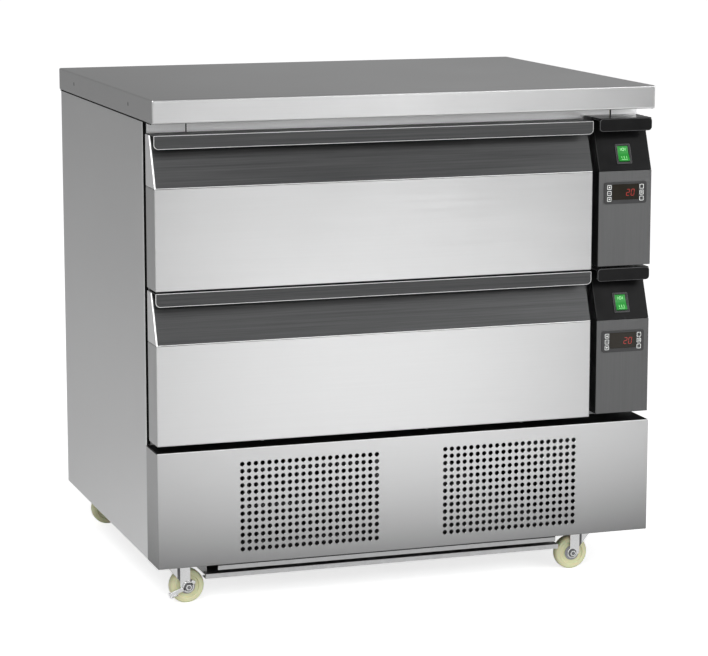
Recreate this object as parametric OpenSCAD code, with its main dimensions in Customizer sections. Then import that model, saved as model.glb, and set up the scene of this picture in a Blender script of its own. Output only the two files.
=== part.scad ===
// Two-drawer refrigerated counter on casters, with a control module beside each drawer.
// Millimetres. X runs right, Y runs back, Z runs up; the origin is on the floor under the middle.

/* [Worktop and panels] */
// Overall width, set by the worktop
worktop_w = 900; // [860:5:980]
// Overall depth, set by the worktop
worktop_d = 700; // [680:5:780]
// Height of the worktop's folded edge
worktop_h = 40; // [30:1:55]
// Width of the lip folded in under the worktop
worktop_lip = 20; // [12:1:30]
// Overhang of the worktop past each side panel
side_overhang = 2.5; // [1.5:0.5:5]
// Overhang of the worktop past the back panel
back_overhang = 6; // [5:0.5:12]
// Thickness of the stainless sheet
sheet = 1.2; // [0.8:0.1:1.5]
// Width of the flange folded in under each side panel
side_flange = 15; // [8:1:16]
// Distance of the front rivets in the worktop's edge from its front
front_rivet_inset = 161; // [120:1:200]
// Distance of the rear rivets in the worktop's edge from its back
rear_rivet_inset = 126; // [100:1:200]
// Radius of a rivet's head
rivet_r = 3.5; // [3:0.5:4]
// Radius of a screw's shank
screw_r = 1.9; // [1.5:0.1:2.2]

/* [Heights] */
// Gap between the floor and the base panel
ground_gap = 75; // [72:1:90]
// Height of the base panel
base_h = 199; // [192:1:230]
// Gap between the base panel and the lower drawer
base_gap = 11; // [8:1:16]
// Gap between the upper drawer and the worktop
top_gap = 19; // [14:1:30]

/* [Cabinet] */
// Distance of the cabinet's face behind the worktop's front edge
face_setback = 74; // [68:1:84]
// Thickness of the face frame
face_t = 1.5; // [1:0.1:2.5]
// How far the face frame reaches down behind the base panel
face_skirt = 14; // [10:1:16]
// Width of the open seams in the face frame
seam = 2; // [1:0.5:3]
// Width of the face frame's separate right strip
right_post_w = 50; // [40:1:60]
// Width of the corner piece at the top left of the face frame
corner_piece_w = 73; // [60:1:90]
// Height of that corner piece
corner_piece_h = 33; // [26:1:38]
// Thickness of the insulated back wall
back_wall = 53; // [45:1:65]
// Thickness of the insulated right wall beside the evaporators
right_wall = 37; // [30:1:42]
// Thickness of the wall between a compartment and its evaporator
partition_t = 8; // [6:1:12]
// Thickness of the compartment liners
liner_t = 1; // [0.8:0.1:1.5]
// Side of the square fan window in the liner's right wall
fan_window = 108; // [104:1:112]
// Height of the fan window above the compartment's floor
fan_window_z = 8; // [4:1:12]
// Width of the return slot in the liner's right wall
return_slot_w = 150; // [100:5:170]
// Height of the return slot
return_slot_h = 90; // [50:5:100]

/* [Drawer fronts] */
// Height of a drawer front
front_h = 259; // [255:1:275]
// Gap between the two drawer fronts
front_gap = 3; // [2:0.5:6]
// Thickness of a drawer front
front_t = 58; // [52:1:62]
// Setback of the drawer fronts from the worktop's front edge
front_setback = 3; // [3:0.5:6]
// Inset of the drawer fronts and modules from the outside of the side panels
front_inset = 1.5; // [0.5:0.5:4]
// Height of the upright face below the sloping band
face_h = 171; // [160:1:185]
// How far the sloping band leans back at the top
band_recess = 34; // [24:1:40]
// Height of the grip lip
lip_h = 23; // [18:1:28]
// Thickness of the grip lip
lip_t = 1.5; // [1:0.1:2]
// Radius of the lip's lower corners
lip_r = 8; // [4:1:10]
// Depth of the lip's top plate where it lies on the drawer front
lip_seat = 16; // [10:1:20]
// Inset of the gasket from the edge of the drawer front
gasket_inset = 6; // [4:1:8]
// Width of the gasket
gasket_w = 17; // [14:1:18]
// Gap between the gasket and the face frame when shut
gasket_gap = 0.3; // [0.2:0.1:0.6]
// Border between a drawer front's edge and the compartment, left and right
land_x = 45.5; // [42:0.5:52]
// Border between a drawer front's edge and the compartment, top and bottom
land_z = 25; // [24.5:0.5:28]

/* [Drawer frames and slides] */
// Space for a slide between the liner and the drawer frame
slide_space = 13; // [12:0.5:15]
// Height of a slide
slide_h = 45; // [38:1:48]
// Wall of the slide members
slide_wall = 1.5; // [1.2:0.1:1.8]
// Running gap between the slide members
slide_gap = 0.4; // [0.3:0.1:0.6]
// Height of the pan rim above the bottom of the drawer front
rim_h = 200; // [196:1:208]
// Height of the drawer frame's walls
frame_wall_h = 55; // [50:1:58]
// Thickness of the drawer frame's sheet
frame_t = 2; // [1.5:0.1:2.5]
// Width of the ledge that carries the pan rims
ledge_w = 16; // [12:1:20]
// Width of the bar between the two pans
pan_bar_w = 22; // [16:1:30]
// Height of that bar
pan_bar_h = 25; // [15:1:40]
// Space behind the drawer frame
rear_space = 34; // [25:1:45]

/* [Control modules] */
// Width of a control module
module_w = 99; // [94:1:106]
// Gap between a drawer front and its module
module_gap = 12; // [8:1:16]
// How far a module's top edge stands higher than its drawer front's
module_lift = 3.5; // [2:0.5:4]
// How far a module's bottom edge stands higher than its drawer front's
module_rise = 4.5; // [4:0.5:12]
// Wall of the module housing
module_wall = 3; // [2.5:0.5:4]
// Thickness of the grey face plate
plate_t = 2; // [1.5:0.5:3]
// Thickness of the module's moulded lip
module_lip_t = 5; // [4:0.5:8]
// Radius of the module lip's corners
module_lip_r = 6; // [3:1:8]
// Width of the switch bezel
switch_w = 29; // [28:1:34]
// Height of the switch bezel
switch_h = 36; // [34:1:40]
// Thickness of the bezels' rims
bezel_t = 1.4; // [1:0.1:1.8]
// Distance of the switch's middle up the sloping band
switch_rise = 30; // [26:1:36]
// Width of the rocker
rocker_w = 20; // [18:1:21]
// Height of the rocker
rocker_h = 28; // [24:1:29]
// Radius of the rocker's pivot pins
rocker_pin_r = 1.5; // [1:0.1:2]
// Tilt of the rocker at rest
rocker_tilt = 7; // [5:1:8]
// Width of the controller bezel
controller_w = 80; // [76:1:86]
// Height of the controller bezel
controller_h = 38; // [36:1:42]
// Distance of the controller's middle below the top edge of the grey face
controller_drop = 38.5; // [30:0.5:60]
// Depth of the controller's body behind the face
controller_depth = 45; // [35:1:55]
// Width of a controller key
key_w = 8; // [7:0.5:9]
// Height of a controller key
key_h = 8.6; // [7.5:0.1:9]
// Pitch of the controller keys
key_pitch = 10.4; // [10:0.1:11]
// Travel of a controller key
key_travel = 0.6; // [0.4:0.1:0.8]

/* [Grilles] */
// Columns of holes in each grille
grille_cols = 21; // [10:1:22]
// Rows of holes in each grille
grille_rows = 13; // [8:1:13]
// Pitch of the columns
grille_pitch_x = 12; // [10:0.1:12.4]
// Pitch of the rows
grille_pitch_z = 12.3; // [10:0.1:12.6]
// Diameter of a grille hole
grille_hole_d = 7.8; // [5:0.1:8]
// Distance of the left grille's middle from the counter's middle
left_grille_x = 180; // [170:1:190]
// Distance of the right grille's middle from the counter's middle
right_grille_x = 185; // [170:1:195]
// Height of the grilles' middle above the bottom of the base panel
grille_z = 98; // [90:1:105]

/* [Base and tray] */
// Rise of the chassis above the bottom of the base panel
chassis_rise = 10; // [8:1:16]
// Thickness of the chassis steel
chassis_t = 2.5; // [2:0.1:3]
// Side of the chassis posts
post_w = 26; // [20:1:28]
// Height of the cross rail that shows under the base panel
cross_rail_h = 9; // [6:1:12]
// Height of the unit tray above the floor
tray_z = 42; // [38:1:46]
// Height of the unit tray's front bar
tray_bar_h = 8; // [6:1:12]
// Thickness of the tray steel
tray_t = 1.5; // [1.2:0.1:2]
// Height of the mains gland above the bottom of the back panel
gland_rise = 60; // [40:1:100]

/* [Cooling] */
// Space under the condenser
condenser_rise = 36; // [30:1:40]
// Diameter of a compressor
compressor_d = 130; // [110:1:140]
// Height of a compressor without its feet
compressor_h = 150; // [140:1:160]
// Height of a compressor's feet
compressor_foot = 14; // [10:1:18]
// Width of the condenser
condenser_w = 250; // [230:5:270]
// Height of the condenser coil
condenser_h = 150; // [130:1:152]
// Thickness of the condenser coil
condenser_t = 40; // [30:1:50]
// Number of condenser fins
condenser_fins = 30; // [16:1:36]
// Diameter of the condenser fan
condenser_fan_d = 130; // [110:1:134]
// Diameter of an evaporator fan
evaporator_fan_d = 98; // [80:1:102]
// Length of an evaporator
evaporator_l = 230; // [180:5:250]
// Thickness of an evaporator
evaporator_t = 60; // [50:1:64]
// Number of evaporator fins
evaporator_fins = 26; // [12:1:30]
// Radius of a fan's hub
hub_r = 20; // [16:1:24]
// Height of a fan's hub
hub_h = 16; // [12:1:20]
// Width of a fan blade
blade_w = 28; // [20:1:32]
// Thickness of a fan blade
blade_t = 1.6; // [1:0.1:2]
// Radius of a fan shaft
shaft_r = 3; // [2.5:0.1:4]
// Radial running clearance of shafts, axles and pins
run_gap = 0.05; // [0.03:0.01:0.08]
// Radius of the refrigerant pipes
pipe_r = 4; // [3:0.5:4.5]

/* [Casters] */
// Diameter of a caster wheel
wheel_d = 60; // [54:1:62]
// Width of a caster wheel
wheel_w = 20; // [16:1:22]
// Radius of a wheel axle
axle_r = 4; // [3:0.5:5]
// Distance of the axle from the swivel axis
trail = 25; // [20:1:26]
// Distance of the left casters' swivel axes from the left side panel
left_caster_inset = 37; // [37:0.5:45]
// Distance of the right casters' swivel axes from the right side panel
right_caster_inset = 98.5; // [95:0.5:115]
// Distance of the front casters' swivel axes from the worktop's front edge
front_caster_inset = 56; // [50:1:60]
// Distance of the rear casters' swivel axes from the back panel
rear_caster_inset = 54; // [50:1:60]
// Side of a caster plate
caster_plate_w = 70; // [60:1:72]
// Thickness of a caster plate
caster_plate_t = 4; // [3:0.5:5]
// Height of the fixed swivel race
race_h = 7; // [5:0.5:8]
// Radius of the fixed swivel race
race_r = 20; // [18:1:22]
// Radius of the king pin
king_pin_r = 5; // [4:0.5:6]
// Thickness of the fork's crown
crown_t = 3; // [2.5:0.5:4]
// Thickness of the fork's cheeks
cheek_t = 2.5; // [2:0.5:3]
// Gap between the wheel's hub and each cheek
cheek_gap = 0.5; // [0.3:0.1:0.8]
// Length of the brake pedal's foot arm
pedal_l = 36; // [30:1:40]
// Thickness of the brake pedal
pedal_t = 3; // [2:0.5:3.5]

/* [Hidden] */
// Facets of a round edge
$fn = 40;
// Overlap of a cut past the face it starts from
cut = 1;
// Gap between rigid pieces that lie side by side
fit_gap = 0.3;
lower = 0;
upper = 1;
levels = [lower, upper];
sides = [-1, 1];

// Planes of the cabinet
front_y = -worktop_d / 2;
back_y = worktop_d / 2 - back_overhang;
panel_y = back_y - sheet;
face_y = front_y + face_setback;
face_back_y = face_y + face_t;
door_y = front_y + front_setback;
door_back_y = door_y + front_t;
side_x = worktop_w / 2 - side_overhang;
inner_x = side_x - sheet;
base_top = ground_gap + base_h;
front_z = [base_top + base_gap, base_top + base_gap + front_h + front_gap];
cabinet_top = front_z[upper] + front_h + top_gap;
counter_h = cabinet_top + worktop_h;

// Drawer fronts and modules
front_x0 = -side_x + front_inset;
module_x1 = side_x - front_inset;
module_x0 = module_x1 - module_w;
front_x1 = module_x0 - module_gap;
front_w = front_x1 - front_x0;
skin_h = front_h - lip_t;
band_lean = atan(band_recess / (skin_h - face_h));
module_z = [for (n = levels) front_z[n] + module_rise];
module_h = front_h + module_lift - module_rise;
module_face_h = face_h - module_rise;
controller_z = module_face_h - controller_drop;
module_mid_x = (module_x0 + module_x1) / 2;

// Compartments
room_x0 = front_x0 + land_x;
room_x1 = front_x1 - land_x;
room_mid_x = (room_x0 + room_x1) / 2;
room_h = front_h - 2 * land_z;
room_back_y = panel_y - back_wall;
room_z = [for (n = levels) front_z[n] + land_z];

// Evaporator cavities between the compartments and the right wall
cavity_x0 = room_x1 + partition_t;
cavity_x1 = inner_x - right_wall;
cavity_y0 = face_y + 46;
cavity_y1 = room_back_y - 30;
evap_x1 = cavity_x1 - 8;
evap_x0 = evap_x1 - evaporator_t;
evap_y1 = cavity_y1 - 12;
evap_y0 = evap_y1 - evaporator_l;
window_mid_z = [for (n = levels) room_z[n] + fan_window_z + fan_window / 2];
evap_fan_y = cavity_y0 + fan_window / 2 + 10;
return_slot_y = evap_y1 - return_slot_w / 2;

// Drawer frames and slides
frame_x0 = room_x0 + liner_t + slide_space;
frame_x1 = room_x1 - liner_t - slide_space;
frame_y1 = room_back_y - liner_t - rear_space;
rim_z = [for (n = levels) front_z[n] + rim_h];
slide_z = [for (n = levels) rim_z[n] - frame_wall_h / 2];
slide_y0 = face_y + 6;
// Each slide member lies this far from the one around it, wall and gap together
slide_step = slide_wall + slide_gap;
slide_mouth = 1;
slide_w = slide_space - slide_mouth;

// Base and tray
chassis_z = ground_gap + chassis_rise;
deck_top = base_top - sheet;
deck_z = deck_top - chassis_t;
chassis_x = inner_x - fit_gap;
chassis_y0 = front_y + sheet + fit_gap;
chassis_y1 = panel_y - fit_gap;
caster_x = [-side_x + left_caster_inset, side_x - right_caster_inset];
caster_y = [front_y + front_caster_inset, back_y - rear_caster_inset];
sweep_r = sqrt(pow(trail + wheel_d / 2, 2) + pow(wheel_w / 2, 2));
sweep_gap = 5;
tray_x0 = caster_x[0] + sweep_r + sweep_gap;
tray_x1 = caster_x[1] - sweep_r - sweep_gap;
rail_inset = [6, 15];
hatch_y0 = front_y + 48.5;
tray_y0 = hatch_y0 + 9.5;
tray_y1 = back_y - 46;
tray_hook = 8;
tray_floor = tray_z + tray_t;
bar_y = front_y + 38;
bar_reach = 6;

// Casters: front left, front right, rear left, rear right
caster_at = [[caster_x[0], caster_y[0]], [caster_x[1], caster_y[0]],
    [caster_x[0], caster_y[1]], [caster_x[1], caster_y[1]]];
caster_turn = [0, 180, 0, 180];
caster_braked = [true, true, false, false];
pedal_drop = [20, -8];
axle_z = wheel_d / 2;
race_z = chassis_z - caster_plate_t - race_h;
crown_top = race_z - fit_gap;
crown_z = crown_top - crown_t;
cheek_v = wheel_w / 2 + cheek_gap;
cheek_half = 9;
pedal_v = cheek_v + cheek_t + fit_gap;
pedal_room = pedal_t + 2 * fit_gap;
nut_h = 4;
nut_r = 6.5;

// Cooling
condenser_x = -left_grille_x;
condenser_y = tray_y0 + 2;
condenser_z = tray_floor + condenser_rise;
condenser_top = condenser_z + condenser_h;
shroud_depth = 24;
shroud_y = condenser_y + condenser_t + shroud_depth;
condenser_rows = 7;
condenser_fan_y = shroud_y + 25;
fan_z = condenser_z + condenser_h / 2;
compressor_at = [[-190, 110], [20, 110]];
compressor_top = tray_floor + compressor_foot + compressor_h;
stub_h = 5;
stub_x = 22;
pipe_level = [for (drop = [4, 16]) base_top - face_skirt - pipe_r - drop];
evaporator_rows = 6;
riser_x = [evap_x0 + 14, evap_x0 + 38];
riser_y = cavity_y1 - 6;
fan_x = cavity_x0 + 6;

// Back panel
gland_x = 330;
gland_z = ground_gap + gland_rise;
gland_r = 9;
gland_bore_r = 4;
gland_rim = 3.5;
gland_y0 = panel_y - 6;
rivet_inset = 14;
louvre_w = 150;
louvre_h = 6;
louvre_pitch = 20;
louvres = [for (n = levels, k = [0:5]) [compressor_at[n][0], gland_z + k * louvre_pitch]];

// Worktop, base panel and modules
stiffener_x = worktop_w / 4;
stiffener_end = 60;
worktop_rivet_y = [front_y + front_rivet_inset, -front_y - rear_rivet_inset];
base_screw_x = [-250, 48, 225];
base_screw_y = front_y + 50;
rocker_depth = 5;

// Box between two corners
module block(a, b) {
    translate(a) cube([b[0] - a[0], b[1] - a[1], b[2] - a[2]]);
}

// Outline in depth and height, extruded from x0 to x1
module along_x(x0, x1, y, z) {
    translate([x0, y, z]) rotate([90, 0, 90]) linear_extrude(x1 - x0) children();
}

// Outline in width and height, extruded back from y
module along_y(y, depth, x, z) {
    translate([x, y + depth, z]) rotate([90, 0, 0]) linear_extrude(depth) children();
}

// Rectangle with its lower corners round, and its upper ones too when top is true
module round_rect(w, h, r, top) {
    translate([r, 0]) square([w - 2 * r, h]);
    translate([0, r]) square([w, top ? h - 2 * r : h - r]);
    for (x = [r, w - r]) {
        translate([x, r]) circle(r);
        if (top) translate([x, h - r]) circle(r);
    }
}

// Side outline of a front: upright face, sloping band and flat top, all moved in by s
function front_outline(depth, h, upright, s = 0, extra = 0) = [
    [s, s],
    [s, upright - s * tan(band_lean / 2)],
    [(h - s - upright) * tan(band_lean) + s / cos(band_lean), h - s],
    [depth + extra, h - s],
    [depth + extra, s]];

// Places its children with x to the right, y up the face and z out of it
module on_module_face(n) {
    translate([module_mid_x, door_y, module_z[n] + controller_z]) rotate([90, 0, 0]) children();
}

module on_module_band(n) {
    translate([module_mid_x, door_y, module_z[n] + module_face_h])
        rotate([90 - band_lean, 0, 0]) translate([0, switch_rise, 0]) children();
}

// Flat box centred on its place, from height z0 to z1
module slab(w, h, z0, z1) {
    translate([-w / 2, -h / 2, z0]) cube([w, h, z1 - z0]);
}

module worktop() {
    x = worktop_w / 2;
    lip = sheet + worktop_lip;
    color("#9fa1a3") difference() {
        union() {
            difference() {
                block([-x, front_y, cabinet_top], [x, -front_y, counter_h]);
                block([-x + sheet, front_y + sheet, cabinet_top + sheet],
                    [x - sheet, -front_y - sheet, counter_h - sheet]);
                block([-x + lip, front_y + lip, cabinet_top - cut],
                    [x - lip, -front_y - lip, cabinet_top + sheet + cut]);
            }
            for (s = sides) stiffener(s * stiffener_x);
        }
        worktop_rivets(run_gap);
    }
}

// Hat section that stiffens the worktop and lies on the cabinet's roof
module stiffener(x) {
    half_w = 30;
    y = front_y + stiffener_end;
    difference() {
        block([x - half_w, y, cabinet_top], [x + half_w, -y, counter_h - sheet]);
        block([x - half_w + sheet, y - cut, cabinet_top - cut],
            [x + half_w - sheet, -y + cut, counter_h - 2 * sheet]);
    }
}

// Countersunk rivets in the worktop's side edges
module worktop_rivets(grow) {
    for (s = sides, y = worktop_rivet_y)
        translate([s * worktop_w / 2, y, cabinet_top + worktop_h / 2]) rotate([0, -s * 90, 0])
            cylinder(h = sheet, r1 = rivet_r + grow, r2 = screw_r + grow);
}

module side_panel(s) {
    color("#a8aaac") {
        block([min(s * inner_x, s * side_x), face_y, ground_gap],
            [max(s * inner_x, s * side_x), back_y, cabinet_top]);
        edge = s * (inner_x - side_flange);
        block([min(edge, s * inner_x), face_y, ground_gap],
            [max(edge, s * inner_x), panel_y, ground_gap + sheet]);
    }
}

module left_side_panel() {
    side_panel(-1);
}

module right_side_panel() {
    side_panel(1);
}

module back_panel() {
    x = inner_x - fit_gap;
    color("#8f9193") {
        difference() {
            block([-x, panel_y, ground_gap], [x, back_y, cabinet_top]);
            for (p = louvres)
                block([p[0] - louvre_w / 2, panel_y - cut, p[1]],
                    [p[0] + louvre_w / 2, back_y + cut, p[1] + louvre_h]);
            along_y(panel_y - cut, sheet + 2 * cut, gland_x, gland_z) circle(gland_r + run_gap);
            back_rivets(panel_y - cut, sheet + 2 * cut, screw_r + run_gap);
        }
        // Gland for the mains cord
        difference() {
            union() {
                along_y(back_y, gland_rim, gland_x, gland_z) circle(gland_r + 5);
                along_y(gland_y0, back_y - gland_y0, gland_x, gland_z) circle(gland_r);
            }
            along_y(gland_y0 - cut, back_y + gland_rim - gland_y0 + 2 * cut, gland_x, gland_z)
                circle(gland_bore_r);
        }
    }
}

// Rivets along the back panel's upper and lower edges
module back_rivets(y, depth, r) {
    for (x = [-1:0.5:1], z = [ground_gap + rivet_inset, cabinet_top - rivet_inset])
        along_y(y, depth, x * (inner_x - rivet_inset), z) circle(r);
}

module cabinet_insulation() {
    color("#e8dfb8") difference() {
        block([-inner_x, face_back_y, deck_top], [inner_x, panel_y, cabinet_top]);
        for (n = levels) {
            block([room_x0, face_back_y - cut, room_z[n]],
                [room_x1, room_back_y, room_z[n] + room_h]);
            block([cavity_x0, cavity_y0, room_z[n]],
                [cavity_x1, cavity_y1, room_z[n] + room_h]);
            air_windows(n, room_x1 - cut, cavity_x0 + cut);
        }
        for (n = levels)
            translate([riser_x[n], riser_y, deck_top - cut])
                cylinder(h = room_z[n] - deck_top + 2 * cut, r = pipe_r + fit_gap);
    }
}

// Fan window and return slot between a compartment and its evaporator
module air_windows(n, x0, x1) {
    half = fan_window / 2;
    block([x0, evap_fan_y - half, window_mid_z[n] - half],
        [x1, evap_fan_y + half, window_mid_z[n] + half]);
    block([x0, return_slot_y - return_slot_w / 2, window_mid_z[n] - return_slot_h / 2],
        [x1, return_slot_y + return_slot_w / 2, window_mid_z[n] + return_slot_h / 2]);
}

module compartment_liners() {
    color("#c9cbcd") for (n = levels) difference() {
        block([room_x0, face_back_y, room_z[n]], [room_x1, room_back_y, room_z[n] + room_h]);
        block([room_x0 + liner_t, face_back_y - cut, room_z[n] + liner_t],
            [room_x1 - liner_t, room_back_y - liner_t, room_z[n] + room_h - liner_t]);
        air_windows(n, room_x1 - liner_t - cut, room_x1 + cut);
    }
}

module front_frame() {
    right_x = side_x - right_post_w;
    corner_x = -inner_x + corner_piece_w;
    corner_z = cabinet_top - corner_piece_h;
    z0 = base_top - face_skirt;
    color("#b4b6b8") {
        difference() {
            block([-inner_x, face_y, z0], [right_x - seam, face_back_y, cabinet_top]);
            for (n = levels)
                block([room_x0 + liner_t, face_y - cut, room_z[n] + liner_t],
                    [room_x1 - liner_t, face_back_y + cut, room_z[n] + room_h - liner_t]);
            block([-inner_x - cut, face_y - cut, corner_z - seam],
                [corner_x + seam, face_back_y + cut, cabinet_top + cut]);
        }
        block([-inner_x, face_y, corner_z], [corner_x, face_back_y, cabinet_top]);
        block([right_x, face_y, z0], [inner_x, face_back_y, cabinet_top]);
    }
}

module base_panel() {
    z1 = base_top;
    color("#c2c4c6") difference() {
        union() {
            along_y(front_y, sheet, 0, ground_gap) difference() {
                translate([-side_x, 0]) square([2 * side_x, base_h]);
                grille(-left_grille_x);
                grille(right_grille_x);
            }
            for (s = sides)
                block([min(s * inner_x, s * side_x), front_y, ground_gap],
                    [max(s * inner_x, s * side_x), face_y, z1]);
            block([-side_x, front_y, z1 - sheet], [side_x, face_y, z1]);
        }
        base_screws(z1 - sheet - cut, z1 + cut, screw_r + run_gap);
    }
}

module grille(x) {
    for (i = [0:grille_cols - 1], k = [0:grille_rows - 1])
        translate([x + (i - (grille_cols - 1) / 2) * grille_pitch_x,
            grille_z + (k - (grille_rows - 1) / 2) * grille_pitch_z]) circle(grille_hole_d / 2, $fn = 24);
}

// Screws through the base panel's top fold into the chassis
module base_screws(z0, z1, r) {
    for (x = base_screw_x) translate([x, base_screw_y, z0]) cylinder(h = z1 - z0, r = r);
}

module base_chassis() {
    z1 = chassis_z + chassis_t;
    post_x = chassis_x - post_w;
    post_y = [face_back_y + 2, chassis_y1 - post_w];
    color("#77797b") difference() {
        union() {
            block([-chassis_x, chassis_y0, chassis_z], [chassis_x, chassis_y1, z1]);
            block([-chassis_x, face_back_y + fit_gap, deck_z], [chassis_x, chassis_y1, deck_top]);
            block([-chassis_x, chassis_y0, deck_z], [chassis_x, face_y - fit_gap, deck_top]);
            for (y = post_y, s = sides)
                block([s > 0 ? post_x : -chassis_x, y, chassis_z],
                    [s > 0 ? chassis_x : -post_x, y + post_w, deck_top]);
            for (s = sides)
                block([s > 0 ? post_x : -chassis_x, chassis_y0, chassis_z],
                    [s > 0 ? chassis_x : -post_x, chassis_y0 + chassis_t, deck_top]);
            block([tray_x0 + rail_inset[0], chassis_y0, ground_gap - cross_rail_h],
                [tray_x1 - rail_inset[1], chassis_y0 + chassis_t, z1]);
        }
        block([tray_x0, hatch_y0, chassis_z - cut], [tray_x1, tray_y1, z1 + cut]);
        for (n = levels)
            translate([riser_x[n], riser_y, deck_z - cut])
                cylinder(h = chassis_t + 2 * cut, r = pipe_r + 2);
        base_screws(deck_z - cut, deck_top + cut, screw_r + run_gap);
    }
}

module unit_tray() {
    z1 = chassis_z;
    color("#b9bbbd") {
        difference() {
            block([tray_x0, tray_y0, tray_z], [tray_x1, tray_y1, z1]);
            block([tray_x0 + tray_t, tray_y0 - cut, tray_floor],
                [tray_x1 - tray_t, tray_y1 - tray_t, z1 + cut]);
        }
        for (s = sides)
            block([s > 0 ? tray_x1 - tray_t : tray_x0 - tray_hook, tray_y0, z1 - tray_t],
                [s > 0 ? tray_x1 + tray_hook : tray_x0 + tray_t, tray_y1, z1]);
        difference() {
            block([tray_x0 - bar_reach, bar_y, tray_z],
                [tray_x1 + bar_reach, tray_y0, tray_z + tray_bar_h]);
            block([tray_x0 - bar_reach - cut, bar_y + tray_t, tray_floor],
                [tray_x1 + bar_reach + cut, tray_y0 + cut, tray_z + tray_bar_h - tray_t]);
        }
    }
}

// Hermetic compressor with a domed shell on four feet
module compressor(n) {
    r = compressor_d / 2;
    dome = 30;
    steps = 8;
    base_w = compressor_d * 0.8;
    base_t = 3;
    foot_r = 8;
    foot_at = base_w / 2 - foot_r - 1;
    stub_root = 10;
    translate([compressor_at[n][0], compressor_at[n][1], tray_floor]) {
        translate([0, 0, compressor_foot]) rotate_extrude($fn = 64)
            polygon(concat([[0, 0], [r - 10, 0], [r, 10]],
                [for (k = [0:steps]) let (a = 85 * k / steps)
                    [r * cos(a), compressor_h - dome + dome * sin(a)]],
                [[0, compressor_h]]));
        slab(base_w, base_w, compressor_foot, compressor_foot + base_t);
        for (x = sides, y = sides)
            translate([x * foot_at, y * foot_at, 0]) cylinder(h = compressor_foot + cut, r = foot_r);
        for (s = sides)
            translate([s * stub_x, 0, compressor_foot + compressor_h - stub_root])
                cylinder(h = stub_root + stub_h, r = pipe_r + 1.5);
    }
}

module compressors() {
    color("#2b2d30") for (n = levels) compressor(n);
}

// Row of fins and through tubes between end plates, in its own frame along X
module coil(l, d, h, fins, rows) {
    plate = 2;
    fin = 0.8;
    tube_r = 3.5;
    for (x = [0, l - plate]) translate([x, 0, 0]) cube([plate, d, h]);
    for (i = [1:fins]) translate([i * (l - fin) / (fins + 1), 0, 2]) cube([fin, d, h - 4]);
    for (k = [0:rows - 1], y = [0.28 * d, 0.72 * d])
        translate([1, y, (k + 0.5) * h / rows]) rotate([0, 90, 0]) cylinder(h = l - 2, r = tube_r);
}

module condenser() {
    x0 = condenser_x - condenser_w / 2;
    x1 = condenser_x + condenser_w / 2;
    plate = 1.5;
    ring_r = condenser_fan_d / 2 + 4;
    motor_y = condenser_fan_y + 1;
    motor_l = 34;
    motor_r = 24;
    arm = 8;
    arm_h = 12;
    color("#8c8f92") {
        translate([x0, condenser_y, condenser_z])
            coil(condenser_w, condenser_t, condenser_h, condenser_fins, condenser_rows);
        block([x0, condenser_y, condenser_top - 2], [x1, condenser_y + condenser_t, condenser_top]);
        for (x = [x0, x1 - plate])
            block([x, condenser_y, tray_floor], [x + plate, shroud_y, condenser_top]);
        difference() {
            block([x0, condenser_y + condenser_t, condenser_z], [x1, shroud_y + plate, condenser_top]);
            block([x0 + plate, condenser_y + condenser_t - cut, condenser_z + plate],
                [x1 - plate, shroud_y, condenser_top - plate]);
            along_y(shroud_y - cut, plate + 2 * cut, condenser_x, fan_z) circle(ring_r);
        }
        // Motor on a bar across the shroud, with the shaft that carries the fan
        along_y(motor_y, motor_l, condenser_x, fan_z) circle(motor_r);
        along_y(shroud_y - 2, motor_y - shroud_y + 4, condenser_x, fan_z) circle(shaft_r);
        for (s = sides) translate([condenser_x + s * (ring_r + 5), motor_y + arm, fan_z]) {
            block([-arm / 2, shroud_y - motor_y - arm, -arm_h / 2], [arm / 2, 0, arm_h / 2]);
            block([min(-s * ring_r, 0), -arm / 2, -arm_h / 2],
                [max(-s * ring_r, 0), 0, arm_h / 2]);
        }
    }
}

// Rotor about Z with its hub from 0 up and a bore that runs on a shaft
module rotor(d, blades) {
    root = 4;
    blade_l = d / 2 - hub_r + root;
    pitch = 32;
    difference() {
        union() {
            cylinder(h = hub_h, r = hub_r);
            for (k = [0:blades - 1]) rotate(k * 360 / blades)
                translate([hub_r - root, 0, hub_h / 2]) rotate([pitch, 0, 0])
                    translate([0, -blade_w / 2, -blade_t / 2]) cube([blade_l, blade_w, blade_t]);
        }
        translate([0, 0, -cut]) cylinder(h = hub_h + 2 * cut, r = shaft_r + run_gap);
    }
}

module condenser_fan() {
    color("#3c3f42") translate([condenser_x, condenser_fan_y, fan_z]) rotate([90, 0, 0])
        rotor(condenser_fan_d, 5);
}

module evaporators() {
    coil_gap = 12;
    motor_x = fan_x + hub_h + 1;
    motor_l = 30;
    motor_r = 18;
    color("#9a9da0") for (n = levels) {
        translate([evap_x1, evap_y0, room_z[n] + coil_gap]) rotate([0, 0, 90])
            coil(evaporator_l, evaporator_t, room_h - 2 * coil_gap, evaporator_fins, evaporator_rows);
        for (y = [evap_y0, evap_y1 - 2])
            block([evap_x0, y, room_z[n]], [evap_x1, y + 2, room_z[n] + room_h]);
        translate([motor_x, evap_fan_y, window_mid_z[n]]) rotate([0, 90, 0]) {
            cylinder(h = motor_l, r = motor_r);
            cylinder(h = cavity_x1 - motor_x, r = motor_r / 2);
            translate([0, 0, -hub_h]) cylinder(h = hub_h + cut, r = shaft_r);
        }
    }
}

module evaporator_fan(n) {
    color("#3c3f42") translate([fan_x, evap_fan_y, window_mid_z[n]]) rotate([0, 90, 0])
        rotor(evaporator_fan_d, 5);
}

// Pipe through a list of points, with a soldered elbow at each inner one
module pipe(p) {
    for (i = [0:len(p) - 2]) {
        run = p[i + 1] - p[i];
        translate(p[i]) rotate([0, acos(run[2] / norm(run)), atan2(run[1], run[0])])
            cylinder(h = norm(run), r = pipe_r);
    }
    for (i = [1:len(p) - 2]) translate(p[i]) sphere(pipe_r + 0.5);
}

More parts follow.
